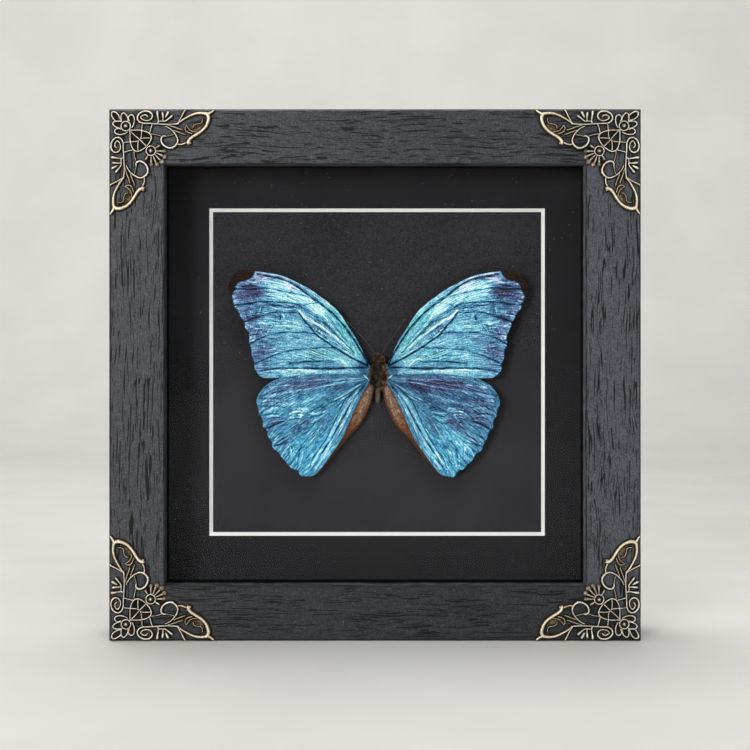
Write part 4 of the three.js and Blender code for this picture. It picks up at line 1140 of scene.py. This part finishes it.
# Lines of x, z, out.
ANTENNAE = [
    [-0.4,6.6,0.2, -3.4,11,1.4, -8,16.2,2, -13.2,21.6,2.2],
    [1,6.6,0.2, 3.6,11,1.4, 7.4,16.6,2, 11.4,22.4,2.2],
]
LEGS = [
    [1,2.2,-2.2, 4,4.4,-3.6, 5.4,0.6,-4.6, 4.4,-2.6,-5],
    [1,-2.4,-2.4, 4.2,-4.6,-3.8, 5,-8.2,-4.7, 3.6,-10.6,-5],
]


def lumpy(centre, radii):
    """An ellipsoid with uneven swellings."""
    points, faces = ellipsoid(centre, radii)
    x, z, out = points.T
    wobble = np.sin(1.3 * x + 2.0) * np.sin(1.1 * z + 4.0)
    wobble += 0.5 * np.sin(2.9 * z - 2.0) * np.cos(2.3 * out + 2.0)
    return centre + (points - centre) * (1 + 0.05 * wobble[:, None]), faces


def abdomen():
    """A drooping, ringed finger that tapers to its tip."""
    k = np.linspace(0, 1, 64)
    middle = np.stack([0.0 * k - 0.1, -4.8 - 8.8 * k, -2.4 - 1.5 * k], axis=1)
    taper = np.clip(1 - ((k - 0.75) / 0.25) ** 2 * (k > 0.75), 0.01, 1)
    radii = (0.95 + 0.1 * np.sin(np.pi * k)) * np.sqrt(taper)
    radii *= 1 + 0.045 * np.abs(np.sin(np.pi * 7 * k))
    return tube(middle, radii, 24)


def antenna(flat):
    """A ringed thread with a club at its end."""
    k = np.linspace(0, 1, 60)
    radii = 0.13 + 0.02 * (np.arange(60) % 2) + 0.2 * smoothstep(k, 0.86, 0.95)
    radii *= 1 - smoothstep(k, 0.975, 1.03)
    return tube(smooth_line(triples(flat), 60), radii)


def leg(flat, side):
    """A tapering, uneven thread."""
    radii = 0.32 - 0.17 * np.linspace(0, 1, 30) + 0.05 * np.sin(np.linspace(0, 12, 30))
    return tube(smooth_line(triples(flat), 30) * [side, 1, 1], radii)


def add_body():
    dark = insect_skin("body_skin", (12, 7, 4), (36, 23, 14))
    grey = insect_skin("antenna_skin", (40, 36, 38), (78, 72, 74), 0.6)
    pale = insect_skin("abdomen_skin", (52, 43, 36), (112, 98, 84), 0.6)
    glossy = insect_skin("eye_skin", (14, 9, 8), (40, 26, 22), 0.25)
    eyes = [ellipsoid([0.4 + 1.6 * side, 6.1, -0.9], [0.95, 1.0, 1.1], 16, 20) for side in (-1, 1)]
    add_part("body_trunk", dark, [lumpy(*THORAX), lumpy(*HEAD)])
    add_part("eyes", glossy, eyes)
    add_part("abdomen", pale, [abdomen()])
    add_part("antennae", grey, map(antenna, ANTENNAE))
    add_part("legs", dark, [leg(flat, side) for flat in LEGS for side in (1, -1)])
    add_hair()


def add_part(name, material, shapes):
    """One piece of the body. A shape is points, faces and sometimes fields."""
    pile = Pile()
    for points, faces, *fields in shapes:
        pile.add(points, faces, **dict(*fields))
    piece = pile.piece(name, material, "butterfly", place_butterfly)
    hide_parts("butterfly")


def add_hair():
    """Short hair all over the thorax, head and wing roots, as joined thin blades."""
    count, tufts = 5200, 170
    outward = unit(rng.normal(size=(count, 3)))
    outward = outward[outward[:, 2] > -0.45]
    on_head = rng.random(len(outward)) < 0.2
    centres, radii = (np.where(on_head[:, None], *part) for part in zip(HEAD, THORAX))
    roots = centres + outward * radii * 0.97
    tips = unit(rng.normal(size=(tufts, 3)))
    tuft = np.argmax(outward @ tips.T, axis=1)
    lean = rng.normal(0, 0.4, tips.shape)
    comb = unit(outward + np.array([0, -0.55, 0.1]) + lean[tuft] + rng.normal(0, 0.15, outward.shape))
    lengths = rng.uniform(0.7, 1.7, len(outward)) * np.where(on_head, 0.6, 1.0)
    side = unit(np.cross(comb, rng.normal(size=comb.shape)))
    bend = outward + np.array([0, -1.3, -0.3])
    shades = rng.random(tufts)[tuft] ** 1.9 + rng.uniform(-0.15, 0.15, len(outward))
    blades = []
    for root, way, across, droop, length, shade in zip(roots, comb, side, bend, lengths, shades):
        width = 0.065 * across
        middle = root + way * length * 0.55
        tip = root + (way * 0.85 + droop * 0.14) * length
        blade = np.array([root - width, root + width, middle + width * 0.8, middle - width * 0.8, tip])
        blades.append((blade, [[0, 1, 2, 3], [3, 2, 4]], {"tip": [0, 0, 0.55, 0.55, 1], "shade": shade}))
    add_part("body_hair", insect_hair(), blades)


def set_butterfly():
    fore = (FORE_LEAD, FORE_MARGIN, FORE_TRAIL)
    hind = (HIND_LEAD, HIND_MARGIN, HIND_TRAIL)
    both = ("fine_shadow", "fine_light")
    fore_lines = vein_lines(FORE_LINES) + crease_lines(FORE_CREASES) + pleat_lines(FORE_PLEATS, both, 5)
    fore_lines += pleat_lines(FORE_SPECKS, both[1:], 6)
    hind_lines = vein_lines(HIND_LINES) + crease_lines(HIND_CREASES) + pleat_lines(HIND_PLEATS, both, 7)
    for side, word, seed in ((-1, "left", 3), (1, "right", 8)):
        patches = HIND_PATCHES + OWN_HIND_PATCHES[side]
        add_wing(f"forewing_{word}", fore, fore_lines, FORE_PATCHES, FORE_TONE, 0.0, side, seed, APEX)
        add_wing(f"hindwing_{word}", hind, hind_lines, patches, HIND_TONE, HINDWING_DROP, side, seed + 1)
        add_fold(f"wing_fold_{word}", side, seed)
    add_body()


# ---- Studio ----
CAMERA_DISTANCE = 0.65  # in front of the frame's face
CAMERA_HEIGHT = 0.128
VIEW_WIDTH = 0.3101  # what the picture is wide at the frame's face
SENSOR = 36.0
# Lights: place, size, power, colour. All aim at the frame's middle.
LIGHTS = {
    "key": ((-1.2, -2.4, 0.5), 0.8, 38, (1.0, 0.985, 0.965)),
    "fill": ((1.6, -1.4, 0.8), 0.9, 7.5, (0.93, 0.96, 1.0)),
    "front_top": ((0.1, -0.9, 1.45), 0.8, 6.5, (1.0, 0.99, 0.97)),
    "back_top": ((-0.2, 0.3, 1.6), 1.0, 14, (1.0, 0.99, 0.97)),
}


def set_camera():
    data = bpy.data.cameras.new("camera")
    data.sensor_width = SENSOR
    data.lens = SENSOR * CAMERA_DISTANCE / VIEW_WIDTH
    data.shift_y = (HALF - CAMERA_HEIGHT) / VIEW_WIDTH
    camera = add_object("camera", data)
    camera.location = (0, FRAME_FRONT - CAMERA_DISTANCE, CAMERA_HEIGHT)
    camera.rotation_euler = (math.pi / 2, 0, 0)
    bpy.context.scene.camera = camera


def add_light(name, place, size, power, colour):
    data = bpy.data.lights.new(name, "AREA")
    data.shape = "DISK"
    data.size = size
    data.energy = power
    data.color = colour
    light = add_object(name, data)
    light.location = place
    way = np.array([0, 0, HALF]) - place
    tilt = math.acos(-way[2] / np.linalg.norm(way))
    light.rotation_euler = (tilt, 0, math.atan2(way[0], -way[1]) + math.pi)


def set_studio():
    world = bpy.data.worlds.new("studio")
    world.use_nodes = True
    background = world.node_tree.nodes["Background"]
    background.inputs[0].default_value = (0.92, 0.96, 1.0, 1.0)
    background.inputs[1].default_value = 0.2
    bpy.context.scene.world = world
    for name, settings in LIGHTS.items():
        add_light(name, *settings)
    floor = sweep()


def sweep():
    """A floor that curves up into a backdrop far behind."""
    depth, rise, radius = 1.4, 1.6, 0.5
    angles = np.linspace(0, math.pi / 2, 12)
    curve = [[depth - radius + radius * math.sin(a), radius - radius * math.cos(a)] for a in angles]
    profile = [[-8, 0], *curve, [depth, rise]]
    points = [(x, y, z) for y, z in profile for x in (-5, 5)]
    return make_shape("floor", points, grid_faces(len(profile), 2)[:, ::-1], studio_floor(), {})


bpy.context.scene.view_settings.view_transform = "Standard"
set_camera()
set_studio()
dress_case()
fit_ornaments()
set_butterfly()
